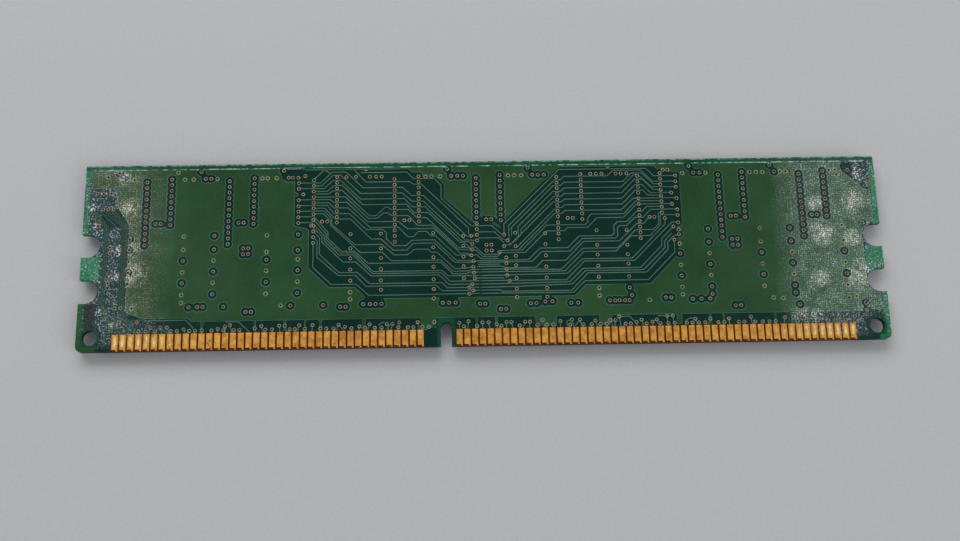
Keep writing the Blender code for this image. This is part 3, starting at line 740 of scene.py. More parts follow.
# ties reach from the pour down to the contacts: middle and width of each
ties = ((20.3, 0.6), (28.85, 0.35), (33.75, 0.5), (37.1, 0.4), (39.5, 0.6), (46.6, 0.6), (57.2, 2.6),
        (65.0, 0.4), (68.3, 0.4), (76.4, 3.6), (86.3, 2.2), (98.45, 0.9), (103.55, 0.5), (105.7, 0.4),
        (114.3, 0.4), (117.5, 1.3), (121.0, 0.5), (124.9, 0.6))
pourLook = {
    "bottom": 4.7, "top": 30.9, "tieEnd": 3.0, "rim": 0.12, "stripRim": 0.05, "notchGap": 0.25,
    "thickness": 0.85, "notchArcs": ((268, 165), (195, 92)), "arcSteps": 10,
    # neighbouring clearances closer than this share a neck, whose width is this share of theirs
    "neckReach": 1.6, "neckShare": 0.62, "ringGap": 0.02,
}
pourHeight = foilHeight * pourLook["thickness"]


def pourOutline():
    low, top = pourLook["bottom"], pourLook["top"]
    points = [(1.0, top), (1.0, 27.8), (4.9, 27.6), (5.4, 26.0), (5.4, 24.8), (7.7, 21.2), (7.7, 7.5),
              (8.2, 6.2), (10.6, 5.3), (17.9, 5.3), (18.5, low)]
    for x, width in ties:
        points += [(x - width / 2, low), (x - width / 2, pourLook["tieEnd"])]
        points += [(x + width / 2, pourLook["tieEnd"]), (x + width / 2, low)]
    past = boardLength - board["notchDepth"] + board["notchRadius"]
    reach = board["notchRadius"] + pourLook["notchGap"]
    notches = []
    for height, angles in zip(board["notchHeights"], pourLook["notchArcs"]):
        notches += arc((past, height), reach, *angles, pourLook["arcSteps"])
    return points + [(129.0, low), (130.4, 5.0), (132.3, 5.0), *notches, (132.3, 20.8), (132.3, 25.7),
                     (131.2, 26.0), (127.8, 29.2), (127.5, 30.0), (127.9, top)]


def clearances(points):
    # a circle round each via, and a neck between near neighbours
    loops = [circle(x, y, vias["clear"]) for x, y in points]
    for i, a in enumerate(points):
        for b in points[i + 1:]:
            gap = math.dist(a, b)
            if 0.1 < gap < pourLook["neckReach"]:
                turned = Vector((b[1] - a[1], a[0] - b[0]))
                side = turned / gap * vias["clear"] * pourLook["neckShare"]
                corners = ((a, 1), (b, 1), (b, -1), (a, -1))
                loops.append([(x + way * side.x, y + way * side.y) for (x, y), way in corners])
    return loops


holes = [tracesField, *fieldBays, *clearances(clearVias)]
ringHole = vias["ring"] + pourLook["ringGap"]
holes += [circle(x, y, ringHole, vias["steps"]) for x, y in pourVias + contactVias]
pourTop = backBase + pourHeight
backPour = flatSheet("backPour", [pourOutline()], holes, backBase, pourTop, copperMask, pourLook["rim"])
finishPiece(backPour, "solder_mask", "back_copper")
strips = [[(68.2, 21.0), (69.4, 20.2), (69.2, 19.8), (68.0, 20.7)],
          [(5.2, 3.1), (5.9, 3.1), (5.9, 4.6), (5.2, 4.6)]]
backStrips = flatSheet("backStrips", strips, [], backBase, pourTop, copperMask, pourLook["stripRim"])
finishPiece(backStrips, "solder_mask")
print("stage: back pour")

# traces on the back, from the left columns of vias through the middle to the right ones
traces = {"width": 0.15, "height": 0.035}
leftTraces = [
    [(38.3, 29.0), (39.8, 30.5)],
    [(35.8, 28.3), (39.3, 28.25), (41.2, 30.15), (43.5, 30.15), (46.4, 27.3), (53.0, 27.3), (54.6, 25.8),
     (56.5, 25.8), (63.8, 18.5), (65.2, 18.7)],
    [(38.4, 27.75), (39.5, 27.75), (41.3, 29.55), (42.6, 29.6), (46.0, 26.3), (53.0, 26.3), (54.6, 24.8),
     (56.5, 24.8), (63.4, 17.9), (65.2, 17.8)],
    [(35.8, 27.3), (39.9, 27.25), (41.3, 28.65), (42.6, 28.7), (46.0, 25.3), (53.3, 25.3), (54.7, 23.8),
     (56.8, 23.8), (62.9, 17.7), (63.9, 17.6), (64.5, 17.2)],
    [(38.4, 26.75), (40.4, 26.75), (41.4, 27.7), (42.9, 27.8), (46.4, 24.3), (53.7, 24.3), (54.9, 22.8),
     (57.3, 22.8), (62.5, 17.55), (63.3, 17.5), (64.0, 16.7), (65.2, 16.6), (66.4, 15.35)],
    [(38.4, 26.3), (40.7, 26.3), (41.3, 26.8), (42.9, 26.9), (47.5, 22.35), (48.6, 22.35), (50.1, 23.8),
     (50.6, 23.8), (51.2, 23.35), (54.0, 23.35), (55.4, 21.9), (57.0, 21.9), (62.3, 16.6), (63.9, 16.6),
     (64.5, 16.2)],
    [(38.4, 25.75), (43.4, 25.75), (47.3, 21.9), (48.8, 21.9), (49.9, 22.8), (50.7, 22.8), (51.2, 22.3),
     (54.0, 22.3), (55.5, 20.55), (58.0, 20.55), (62.2, 16.3), (65.2, 16.1), (66.3, 15.0)],
    [(35.8, 25.3), (40.9, 25.3), (41.5, 24.8), (43.7, 24.8), (47.2, 21.3), (52.3, 21.3), (53.8, 20.0),
     (58.2, 20.0), (62.6, 15.6), (63.7, 15.6), (64.4, 15.2)],
    [(38.4, 24.75), (40.6, 24.75), (41.6, 23.8), (43.9, 23.8), (47.6, 20.3), (52.3, 20.3), (53.9, 18.6),
     (54.8, 18.6), (55.7, 19.5), (57.0, 19.5), (57.8, 18.7), (58.5, 18.7), (61.9, 15.3), (65.3, 15.3),
     (66.0, 14.65)],
    [(35.8, 24.3), (40.4, 24.3), (41.6, 22.8), (44.1, 22.8), (47.0, 19.95), (49.7, 19.95), (50.3, 19.4),
     (50.3, 18.3), (51.5, 17.1), (53.6, 17.1), (54.6, 18.0), (58.3, 18.0), (61.9, 14.4), (64.7, 14.3)],
    [(38.4, 23.8), (40.0, 23.8), (41.8, 21.85), (44.3, 21.85), (47.8, 18.3), (49.4, 18.3), (51.5, 16.3),
     (53.7, 16.3), (54.8, 17.45), (58.3, 17.45), (61.6, 14.1), (64.0, 14.0), (65.9, 14.3)],
    [(35.8, 23.3), (39.9, 23.3), (41.2, 22.0), (41.2, 20.95), (45.1, 17.35), (49.5, 17.35), (51.6, 15.5),
     (53.9, 15.5), (54.9, 16.4), (57.2, 16.4), (57.8, 15.85), (58.7, 15.85), (61.6, 13.0), (63.3, 13.0),
     (64.7, 13.25)],
    [(38.4, 22.8), (39.8, 22.8), (41.0, 21.6), (41.0, 20.8), (46.0, 16.0), (49.6, 16.0), (51.1, 14.5),
     (59.3, 14.5), (61.3, 12.55), (63.9, 12.55), (64.3, 12.8), (66.0, 12.8)],
    [(35.8, 22.35), (38.3, 22.3), (40.6, 19.6), (40.6, 18.5), (42.9, 16.25), (45.0, 16.25), (47.3, 14.1),
     (59.3, 14.1), (61.3, 12.1), (63.6, 12.1), (64.0, 12.35), (66.0, 12.35)],
    [(38.2, 21.8), (40.3, 19.3), (40.3, 18.3), (42.7, 15.95), (44.9, 15.95), (48.1, 12.7), (59.5, 12.7),
     (60.5, 11.75), (66.0, 11.75)],
    [(35.8, 21.3), (37.9, 21.3), (40.0, 19.0), (40.0, 18.1), (42.5, 15.6), (44.8, 15.6), (48.0, 12.35),
     (59.3, 12.35), (60.8, 10.85), (66.0, 10.85)],
    [(37.8, 20.75), (39.6, 18.9), (39.6, 17.9), (43.1, 14.4), (45.2, 14.4), (47.8, 11.95), (59.0, 11.95),
     (60.6, 10.3), (66.0, 10.3)],
    [(38.2, 19.75), (39.2, 18.6), (39.2, 15.8), (42.5, 12.6), (45.5, 12.6), (47.5, 10.65), (59.4, 10.65),
     (60.3, 9.75), (66.0, 9.75)],
    [(38.2, 18.7), (38.8, 18.1), (38.8, 15.3), (42.4, 12.1), (45.2, 12.1), (46.9, 10.2), (58.5, 10.2),
     (59.5, 9.25), (66.0, 9.25)],
    [(38.15, 17.7), (38.15, 13.6), (41.2, 10.6), (45.3, 10.6), (47.4, 8.65), (66.0, 8.7)],
    [(44.9, 30.5), (46.9, 28.3), (54.2, 28.3), (54.9, 27.8), (56.2, 27.8), (64.0, 20.0), (64.0, 19.0),
     (64.4, 18.6)],
    [(46.0, 30.0), (53.8, 30.0), (54.9, 28.8), (58.4, 28.8), (59.5, 27.6), (59.5, 25.3), (64.5, 20.35),
     (67.9, 20.35), (69.6, 18.75)],
    [(40.0, 30.5), (40.9, 29.9)],
]
centreTraces = [
    [(65.6, 19.25), (68.3, 19.25), (69.4, 18.15), (70.3, 17.7)], [(65.6, 18.2), (69.0, 18.2), (69.9, 17.3)],
]
centreLevels = ((15.35, 66.4, 68.9), (15.0, 66.3, 68.8), (14.65, 66.0, 68.9), (14.3, 65.9, 68.9),
                (14.0, 65.7, 68.9), (13.65, 65.5, 69.1), (13.3, 65.3, 69.3), (12.8, 65.6, 69.3),
                (12.35, 65.6, 69.3), (11.75, 65.6, 69.3), (11.3, 65.0, 69.8), (10.85, 65.6, 69.3),
                (10.3, 65.6, 69.3), (9.75, 65.6, 69.3), (9.25, 65.6, 69.0), (8.7, 65.6, 69.0))
centreTraces += [[(low, level), (high, level)] for level, low, high in centreLevels]
rightTraces = [
    [(68.9, 15.35), (69.5, 16.0), (72.9, 16.0), (77.1, 20.3), (83.6, 20.3), (84.1, 20.8), (84.1, 21.5),
     (84.7, 22.1), (90.2, 22.1), (92.3, 24.3), (96.6, 24.3)],
    [(68.8, 15.0), (69.4, 15.6), (73.4, 15.6), (77.05, 19.25), (80.1, 19.25), (80.6, 19.8), (84.0, 19.8),
     (85.6, 21.45), (90.1, 21.45), (92.4, 23.75), (98.3, 23.75)],
    [(68.8, 14.3), (73.9, 14.35), (75.85, 16.3), (80.5, 16.3), (82.5, 18.3), (88.0, 18.3), (88.4, 18.7),
     (88.4, 20.1), (89.0, 20.7), (90.6, 20.7), (92.4, 22.5), (93.3, 22.5), (94.1, 23.3), (96.6, 23.3)],
    [(68.8, 14.0), (74.5, 14.05), (76.15, 15.7), (80.8, 15.7), (83.0, 17.85), (88.6, 17.85), (89.0, 18.3),
     (89.0, 19.7), (89.3, 20.0), (90.5, 20.0), (92.0, 21.4), (93.4, 21.4), (94.7, 22.8), (99.2, 22.8)],
    [(69.3, 13.3), (70.2, 13.0), (75.1, 13.0), (76.2, 14.15), (80.1, 14.15), (83.2, 17.35), (89.2, 17.35),
     (92.2, 20.3), (93.4, 20.3), (94.3, 21.3)],
    [(69.3, 12.8), (79.3, 12.6), (83.0, 16.15), (88.9, 16.15), (92.0, 19.25), (95.0, 19.25), (96.0, 20.2),
     (96.0, 22.1), (96.5, 22.4)],
    [(69.3, 12.35), (79.9, 12.3), (83.2, 15.6), (88.6, 15.6), (91.2, 18.2), (94.4, 18.2), (96.3, 20.1),
     (96.3, 21.8), (99.2, 21.8)],
    [(69.3, 11.75), (80.3, 11.9), (82.9, 14.35), (91.2, 14.35), (97.05, 20.2), (97.05, 21.0)],
    [(69.3, 10.85), (80.1, 10.8), (83.2, 13.95), (91.6, 13.95), (97.8, 20.1), (98.2, 20.5), (99.1, 20.5)],
    [(69.3, 10.3), (80.6, 10.45), (82.9, 12.7), (92.5, 12.7), (96.3, 16.5), (96.3, 17.6), (98.3, 19.6)],
    [(69.3, 9.75), (81.0, 10.05), (83.3, 12.3), (93.0, 12.3), (96.8, 16.1), (96.8, 17.3), (98.1, 18.6)],
    [(69.0, 9.25), (69.5, 9.0), (80.9, 9.0), (83.7, 11.9), (93.5, 11.9), (97.3, 15.8), (97.3, 17.0),
     (98.3, 18.0), (99.1, 18.35)],
    [(68.8, 8.7), (81.2, 8.65), (83.2, 10.6), (93.7, 10.6), (98.4, 15.3), (98.4, 17.3)],
    [(69.95, 18.75), (69.95, 20.6), (79.5, 30.1), (94.3, 30.1), (95.6, 28.75), (99.2, 28.75)],
    [(70.5, 17.75), (70.75, 18.2), (70.75, 20.3), (78.7, 28.25), (79.7, 28.25), (80.3, 28.85), (87.7, 28.85),
     (88.7, 29.8), (93.4, 29.8), (95.4, 27.75), (99.2, 27.75)],
    [(71.2, 18.4), (71.2, 19.95), (78.5, 27.25), (79.7, 27.25), (80.3, 27.8), (90.3, 27.8), (91.8, 29.3),
     (93.5, 29.3), (95.5, 27.3), (96.6, 27.3)],
    [(71.1, 17.2), (72.3, 18.4), (72.3, 20.1), (78.4, 26.2), (79.7, 26.2), (80.3, 26.8), (90.0, 26.8),
     (92.2, 29.0), (92.9, 29.0), (95.1, 26.8), (99.2, 26.75)],
    [(70.0, 16.75), (71.4, 17.3), (72.8, 18.7), (72.8, 19.6), (78.5, 25.3), (79.7, 25.3), (80.3, 25.8),
     (90.0, 25.8), (92.3, 28.2), (93.6, 28.2), (95.4, 26.3), (96.6, 26.3)],
    [(70.75, 16.75), (78.3, 24.3), (79.7, 24.3), (80.3, 24.8), (90.0, 24.8), (92.3, 27.2), (93.5, 27.2),
     (94.9, 25.75), (98.3, 25.75)],
    [(71.9, 16.4), (78.8, 23.3), (79.7, 23.3), (80.3, 23.8), (90.0, 23.8), (92.3, 26.2), (93.6, 26.2),
     (94.5, 25.3), (96.6, 25.3)],
    [(72.4, 16.2), (78.5, 22.3), (79.7, 22.3), (80.3, 22.8), (89.8, 22.8), (91.9, 24.8), (99.2, 24.8)],
]
# the bundle of broad traces down the left end, and the short runs above the contacts
bundle = {"columns": (3.68, 3.95, 4.22, 5.55, 6.5, 6.78, 7.06, 7.3), "width": 0.19, "height": 0.035}
bundleTraces = [[(3.0, 25.0), (4.4, 26.6)], [(3.4, 24.8), (4.8, 26.3)], [(2.6, 25.3), (4.0, 26.8)]]
for i, x in enumerate(bundle["columns"]):
    bundleTraces.append([(1.3 + 0.5 * i, 23.4 + 0.1 * i), (x, 20.9 + 0.05 * i), (x, 8.0), (x + 0.3, 6.2),
                         (5.7 + 0.6 * i, 2.9)])
endTraces = [
    [(10.8, 5.0), (17.7, 5.0), (18.9, 3.6)], [(13.7, 3.6), (14.9, 2.8)], [(8.2, 4.0), (9.5, 2.8)],
    [(24.1, 4.6), (26.2, 4.6), (28.0, 2.9)], [(42.5, 3.8), (43.2, 3.0)],
    [(49.0, 3.6), (49.6, 4.1), (50.0, 4.1)],
    [(50.3, 2.9), (50.9, 3.7)], [(79.9, 3.0), (79.9, 3.8), (80.5, 4.1)], [(81.2, 3.0), (81.9, 3.8)],
    [(88.7, 4.45), (90.2, 4.45), (91.0, 3.6)], [(94.9, 4.45), (97.5, 4.45)],
    [(99.4, 3.5), (100.0, 3.95), (100.9, 3.95)], [(98.5, 3.6), (98.8, 4.7)],
]
contacts = {
    "pitch": 1.27, "width": 0.99, "start": 0.25, "length": 2.5, "thickness": 0.06, "bevel": 0.04,
    # the first contact of each group and how many there are
    "left": (6.35, 40), "right": (62.23, 52),
    # the stub of the plating bar, how far it runs into the plate, and its share of the plate's thickness
    "tailWidth": 0.26, "tailOverlap": 0.02, "tailShare": 0.7,
    # heights of the bends in the short trace from a via to its contact
    "traceBends": (2.98, 2.7),
}


def contactColumns(group):
    first, count = contacts[group]
    return [first + contacts["pitch"] * i for i in range(count)]


def nearestContact(x):
    return min(contactColumns("left") + contactColumns("right"), key=lambda middle: abs(middle - x))


for x, y in contactVias:
    nearest = nearestContact(x)
    upper, lower = contacts["traceBends"]
    endTraces.append([(x, y), ((x + nearest) / 2, upper), ((x + 2 * nearest) / 3, lower)])
allTraces = leftTraces + centreTraces + rightTraces + endTraces
backTraces = ridgeLines("backTraces", allTraces, traces["width"], traces["height"], backBase, traceMask)
finishPiece(backTraces, "solder_mask")
endBundle = ridgeLines("endBundle", bundleTraces, bundle["width"], bundle["height"], backBase, bundleMask)
finishPiece(endBundle, "solder_mask")
print("stage: back traces")


# via barrels with a ring on each face
def turnedRing(name, profile, steps, material):
    # the profile is (radius, height) points in metres, turned about Z by extruding one ring after another
    radius, height = profile[0]
    deselect()
    bpy.ops.mesh.primitive_circle_add(vertices=steps, radius=radius, location=(0, 0, height))
    ring = bpy.context.object
    settle(ring)
    editMode()
    for nextRadius, nextHeight in profile[1:]:
        bpy.ops.mesh.extrude_region_move(TRANSFORM_OT_translate={"value": (0, 0, nextHeight - height)})
        scale = nextRadius / radius
        bpy.ops.transform.resize(value=(scale, scale, 1.0), center_override=(0, 0, nextHeight))
        radius, height = nextRadius, nextHeight
    bpy.ops.mesh.select_all(action="SELECT")
    bpy.ops.mesh.remove_doubles(threshold=1e-7)
    faceOutwards()
    ring.name = name
    ring.data.materials.append(material)
    return ring


def viaPattern(finish):
    wall = (vias["hole"] - vias["wallGap"]) * mm
    hole = (vias["hole"] - vias["barrelGap"]) * mm
    ring = vias["ring"] * mm
    back = backFace - vias["faceSink"] * mm
    front = frontFace + vias["faceSink"] * mm
    sink = vias["ringSink"] * mm
    return turnedRing("viaPattern", [
        (ring, backBase - sink), (ring, back - sink), (ring * 0.85, back), (hole * 1.25, back),
        (hole, back - sink), (hole, front + sink), (hole * 1.25, front), (ring, front),
        (ring, frontBase + sink), (wall, frontBase + sink), (wall, backBase - sink), (ring, backBase - sink)],
        vias["steps"], looks[finish])


endVias = [spot for spot in clearVias if abs(spot[0] - boardLength / 2) > vias["endsFrom"]]
middleVias = [spot for spot in clearVias if spot not in endVias]
groups = (("viasOnEnds", "viaCopper", endVias), ("viasByPour", "viaCopper", middleVias),
          ("viasInPour", "viaGreen", pourVias), ("viasAmongTraces", "viaCopper", openVias),
          ("viasAboveContacts", "viaCopper", contactVias))
for name, finish, chosen in groups:
    pattern = viaPattern(finish)
    pattern.data.materials.append(looks["viaHoleShade"])
    # the barrel's inner walls take the near-black painted shade
    for face in pattern.data.polygons:
        reach = min(math.hypot(*pattern.data.vertices[i].co.xy) for i in face.vertices)
        if reach < vias["hole"] * 1.02 * mm and abs(face.normal.z) < 0.5:
            face.material_index = 1
    finishPiece(manyCopies(name, pattern, [(x, y, 0.0) for x, y in chosen]), "inner_copper")
    bpy.data.objects.remove(pattern)
print("stage: via barrels")


# edge contacts
def addBlock(size, centre):
    deselect()
    bpy.ops.mesh.primitive_cube_add(size=1.0, location=centre)
    block = bpy.context.object
    block.scale = size
    return settle(block)


def contactPattern(low, high, outer):
    # a gold plate with soft edges, and the stub of the plating bar that runs from it to the board's edge
    width, length = contacts["width"] * mm, contacts["length"] * mm
    middle = (contacts["start"] + contacts["length"] / 2) * mm
    plate = addBlock((width, length, high - low), (0, middle, (low + high) / 2))
    selectEdges(plate, 2, outer)
    bpy.ops.mesh.bevel(offset=contacts["bevel"] * mm, segments=2)
    objectMode()
    tailWidth = contacts["tailWidth"] * mm
    tailLength = (contacts["start"] + contacts["tailOverlap"]) * mm
    thin = (high - low) * contacts["tailShare"]
    inner = low if outer == high else high
    tailMiddle = inner + thin / 2 * (1 if outer == high else -1)
    addBlock((tailWidth, tailLength, thin), ((width - tailWidth) / 2, tailLength / 2, tailMiddle))
    plate.select_set(True)
    bpy.context.view_layer.objects.active = plate
    bpy.ops.object.join()
    plate.data.materials.append(looks["goldPlate"])
    return plate


thickness = contacts["thickness"] * mm
faces = {"back": (backFace - thickness, backFace), "front": (frontFace, frontFace + thickness)}
for side, (low, high) in faces.items():
    pattern = contactPattern(low, high, high if side == "back" else low)
    for group in ("left", "right"):
        spots = [(x, 0.0, 0.0) for x in contactColumns(group)]
        row = manyCopies(f"{side}Contacts{group.capitalize()}", pattern, spots)
        finishPiece(row, "contact_gold", f"{side}_contacts_{group}")
    bpy.data.objects.remove(pattern)
print("stage: contacts")

# memory chips: a package and its rows of leads for each
chip = {
    "width": 10.16, "length": 22.22, "middle": 18.6, "draft": 0.1, "edge": 0.1, "dimple": 0.6,
    "dimpleDepth": 0.06, "leadPitch": 0.65, "leadCount": 33, "leadWidth": 0.30, "leadThickness": 0.12,
    "reach": 0.8, "foot": 0.48,
    # how far a lead starts inside the mould, its first bend outside it, and the softness of bends and edges
    "leadRoot": 0.12, "shoulder": 0.15, "bend": 0.06, "leadEdge": 0.018,
}
presence = {"width": 4.4, "length": 3.0, "x": 3.75, "y": 25.5, "leadCount": 4, "reach": 1.0, "dimple": 0.22}


def moulded(name, width, length, low, high, dimple):
    # a moulded body: widest at the parting line, soft edges, a sunk mark at one corner of its outer face
    body = addBlock(((width - chip["draft"]) * mm, (length - chip["draft"]) * mm, high - low),
                    (0, 0, (low + high) / 2))
    editMode()
    middle = (low + high) / 2
    bpy.ops.mesh.bevel(offset=chip["edge"] * mm, segments=2, affect="EDGES")
    bpy.ops.mesh.select_all(action="SELECT")
    bpy.ops.mesh.bisect(plane_co=(0, 0, middle), plane_no=(0, 0, 1))
    bpy.ops.transform.resize(value=(width / (width - chip["draft"]), length / (length - chip["draft"]), 1.0),
                             center_override=(0, 0, middle))
    objectMode()
    corner = ((-width / 2 + 1.9 * dimple) * mm, (-length / 2 + 1.9 * dimple) * mm, low)
    deselect()
    bpy.ops.mesh.primitive_cylinder_add(vertices=32, radius=dimple * mm, depth=2 * chip["dimpleDepth"] * mm,
                                        location=corner)
    drill = settle(bpy.context.object)
    boolean = body.modifiers.new("dimple", "BOOLEAN")
    boolean.object = drill
    boolean.solver = "EXACT"
    applyModifiers(body)
    bpy.data.objects.remove(drill)
    body.name = name
    body.data.materials.append(looks["mouldBlack"])
    return body


def gullLead(name, bodyEdge, reach, middle, seat):
    # a bent strip, extruded edge by edge from inside the mould to the end of its foot, then thickened
    half = chip["leadThickness"] / 2 * mm
    level = seat - half
    tip = (bodyEdge + reach) * mm
    heel = tip - chip["foot"] * mm
    bend = chip["bend"] * mm
    start = (bodyEdge - chip["leadRoot"]) * mm
    shoulder = (bodyEdge + chip["shoulder"]) * mm
    route = [(start, middle), (shoulder - bend, middle), (shoulder + bend * 0.4, middle + bend * 0.8),
             (heel - bend * 0.4, level - bend * 0.8), (heel + bend, level), (tip, level)]
    deselect()
    bpy.ops.mesh.primitive_plane_add(size=1.0, location=((route[0][0] + route[1][0]) / 2, 0, middle))
    lead = bpy.context.object
    lead.scale = (route[1][0] - route[0][0], chip["leadWidth"] * mm, 1.0)
    settle(lead)
    for (x, z), (nextX, nextZ) in zip(route[1:], route[2:]):
        selectEdges(lead, 0, x)
        bpy.ops.mesh.extrude_region_move(TRANSFORM_OT_translate={"value": (nextX - x, 0, nextZ - z)})
        objectMode()
    thick = lead.modifiers.new("thickness", "SOLIDIFY")
    thick.thickness = chip["leadThickness"] * mm
    thick.offset = 0.0
    thick.use_even_offset = True
    soft = lead.modifiers.new("soft edges", "BEVEL")
    soft.width = chip["leadEdge"] * mm
    soft.segments = 1
    applyModifiers(lead)
    lead.name = name
    lead.data.materials.append(looks["solder"])
    return lead


def leadSpots(x, y, count, turn=0.0):
    sine, cosine = math.sin(math.radians(turn)), math.cos(math.radians(turn))
    rows = []
    for side in (0.0, 180.0):
        for i in range(count):
            along = (i - (count - 1) / 2) * chip["leadPitch"]
            rows.append((x - along * sine, y + along * cosine, side + turn))
    return rows


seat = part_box("memory_chip_1_lead_frame")[1].z
chipLow, chipHigh = (corner.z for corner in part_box("memory_chip_1_package"))
packagePattern = moulded("packagePattern", chip["width"], chip["length"], chipLow, chipHigh, chip["dimple"])
leadPattern = gullLead("leadPattern", chip["width"] / 2, chip["reach"], (chipLow + chipHigh) / 2, seat)
sites = [site for site in range(9) if site != bareSite]
for number, site in enumerate(sites, start=1):
    x, y = siteCentres[site], chip["middle"]
    package = manyCopies(f"memoryChip{number}", packagePattern, [(x, y, 0.0)])
    finishPiece(package, "mould", f"memory_chip_{number}_package")
    leads = manyCopies(f"memoryChip{number}Leads", leadPattern, leadSpots(x, y, chip["leadCount"]))
    finishPiece(leads, "tinned_lead", f"memory_chip_{number}_lead_frame")
low, high = (corner.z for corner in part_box("presence_chip_package"))
smallPackage = moulded("smallPackage", presence["width"], presence["length"], low, high, presence["dimple"])
smallLead = gullLead("smallLead", presence["width"] / 2, presence["reach"], (low + high) / 2, seat)
spot = (presence["x"], presence["y"], 90.0)
finishPiece(manyCopies("presenceChip", smallPackage, [spot]), "mould", "presence_chip_package")
spots = leadSpots(presence["x"], presence["y"], presence["leadCount"], 90.0)
finishPiece(manyCopies("presenceChipLeads", smallLead, spots), "tinned_lead", "presence_chip_lead_frame")
for pattern in (packagePattern, leadPattern, smallPackage, smallLead):
    bpy.data.objects.remove(pattern)
print("stage: chips")

# resistor arrays and capacitors
array = {
    "length": 3.2, "width": 1.6, "y": 5.6, "offset": 3.0, "padCount": 4, "padPitch": 0.8, "padWidth": 0.46,
    "padReach": 0.3, "padEdge": 0.05, "bodyInset": 0.12, "bodyEdge": 0.04,
    "glaze": 0.06, "glazeEnds": 0.3, "glazeSides": 0.66, "glazeEdge": 0.02,
}
capacitor = {
    "width": 0.8, "length": 1.6, "y": 29.4, "cap": 0.35, "bodyInset": 0.05, "endInset": 0.2, "bodyEdge": 0.04,
    "capEdge": 0.08, "capSegments": 3,
}
arrayLow, arrayHigh = (corner.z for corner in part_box("resistor_array_1"))
capLow, capHigh = (corner.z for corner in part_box("capacitor_1"))


def softBlock(size, centre, width, material, segments=2):
    block = addBlock(size, centre)
    bevel = block.modifiers.new("soft edges", "BEVEL")
    bevel.width = width * mm
    bevel.segments = segments
    applyModifiers(block)
    block.data.materials.append(material)
    return block


def joined(pieces, name):
    choose(pieces[0])
    for piece in pieces[1:]:
        piece.select_set(True)
    bpy.ops.object.join()
    bpy.context.object.name = name
    return bpy.context.object


def padShift(i):
    return (i - (array["padCount"] - 1) / 2) * array["padPitch"]


def arrayPattern():
    # a ceramic body with glaze on its outer face and four solder terminals along each side
    middle = (arrayLow + arrayHigh) / 2
    thick = arrayHigh - arrayLow
    length, width, glaze = array["length"], array["width"], array["glaze"] * mm
    bodySize = (length * mm, (width - array["bodyInset"]) * mm, thick - glaze)
    glazeSize = ((length - array["glazeEnds"]) * mm, (width - array["glazeSides"]) * mm, glaze)
    pieces = [softBlock(bodySize, (0, 0, middle + 0.01 * mm), array["bodyEdge"], looks["ceramicWhite"]),
              softBlock(glazeSize, (0, 0, arrayLow + glaze / 2), array["glazeEdge"], looks["glazeBlack"])]
    padSize = (array["padWidth"] * mm, array["padReach"] * mm, thick)
    for side in (-1, 1):
        for i in range(array["padCount"]):
            spot = (padShift(i) * mm, side * (width - array["padReach"]) / 2 * mm, middle)
            pieces.append(softBlock(padSize, spot, array["padEdge"], looks["solder"]))
    return joined(pieces, "arrayPattern")


def capacitorPattern():
    # a tan body with a solder cap on each end
    middle = (capLow + capHigh) / 2
    thick = capHigh - capLow
    width, length, cap = capacitor["width"] * mm, capacitor["length"] * mm, capacitor["cap"] * mm
    inset = capacitor["bodyInset"] * mm
    bodySize = (width - inset, length - capacitor["endInset"] * mm, thick - inset)
    pieces = [softBlock(bodySize, (0, 0, middle), capacitor["bodyEdge"], looks["capacitorTan"])]
    for side in (-1, 1):
        spot = (0, side * (length - cap) / 2, middle)
        pieces.append(softBlock((width, cap, thick), spot, capacitor["capEdge"], looks["solder"],
                                capacitor["capSegments"]))
    return joined(pieces, "capacitorPattern")


pattern = arrayPattern()
arraySpots = [(siteCentres[site] + side * array["offset"], array["y"], 0.0)
              for site in sites for side in (-1, 1)]
for number, spot in enumerate(arraySpots, start=1):
    finishPiece(manyCopies(f"resistorArray{number}", pattern, [spot]), "resistor", f"resistor_array_{number}")
bpy.data.objects.remove(pattern)
pattern = capacitorPattern()
gaps = [gap for gap in range(8) if gap != bareSite]
capSpots = [((siteCentres[gap] + siteCentres[gap + 1]) / 2, capacitor["y"], 0.0) for gap in gaps]
for number, spot in enumerate(capSpots, start=1):
    finishPiece(manyCopies(f"capacitor{number}", pattern, [spot]), "capacitor", f"capacitor_{number}")
bpy.data.objects.remove(pattern)
print("stage: arrays and capacitors")

# the front: solder pads under every lead, pour round them, and traces from contacts to arrays to chips
pads = {
    "length": 0.9, "width": 0.36, "height": 0.02, "edge": 0.012, "seatGap": 0.012,
    # how far the pads stand from the middle of a chip, of an array and of the presence chip
    "leadX": 5.58, "arrayY": 0.72, "presenceY": 2.96,
    # pads left of this x are one piece, and the others are another
    "splitX": 67.0,
}


def padRow(x, y, count, reach, pitch, alongY=True):
    # two facing rows of pads, each pad with its long side across the row
    spots = []
    for side in (-1, 1):
        for i in range(count):
            along, away = (i - (count - 1) / 2) * pitch, side * reach
            spots.append((x + away, y + along, 0.0) if alongY else (x + along, y + away, 90.0))
    return spots


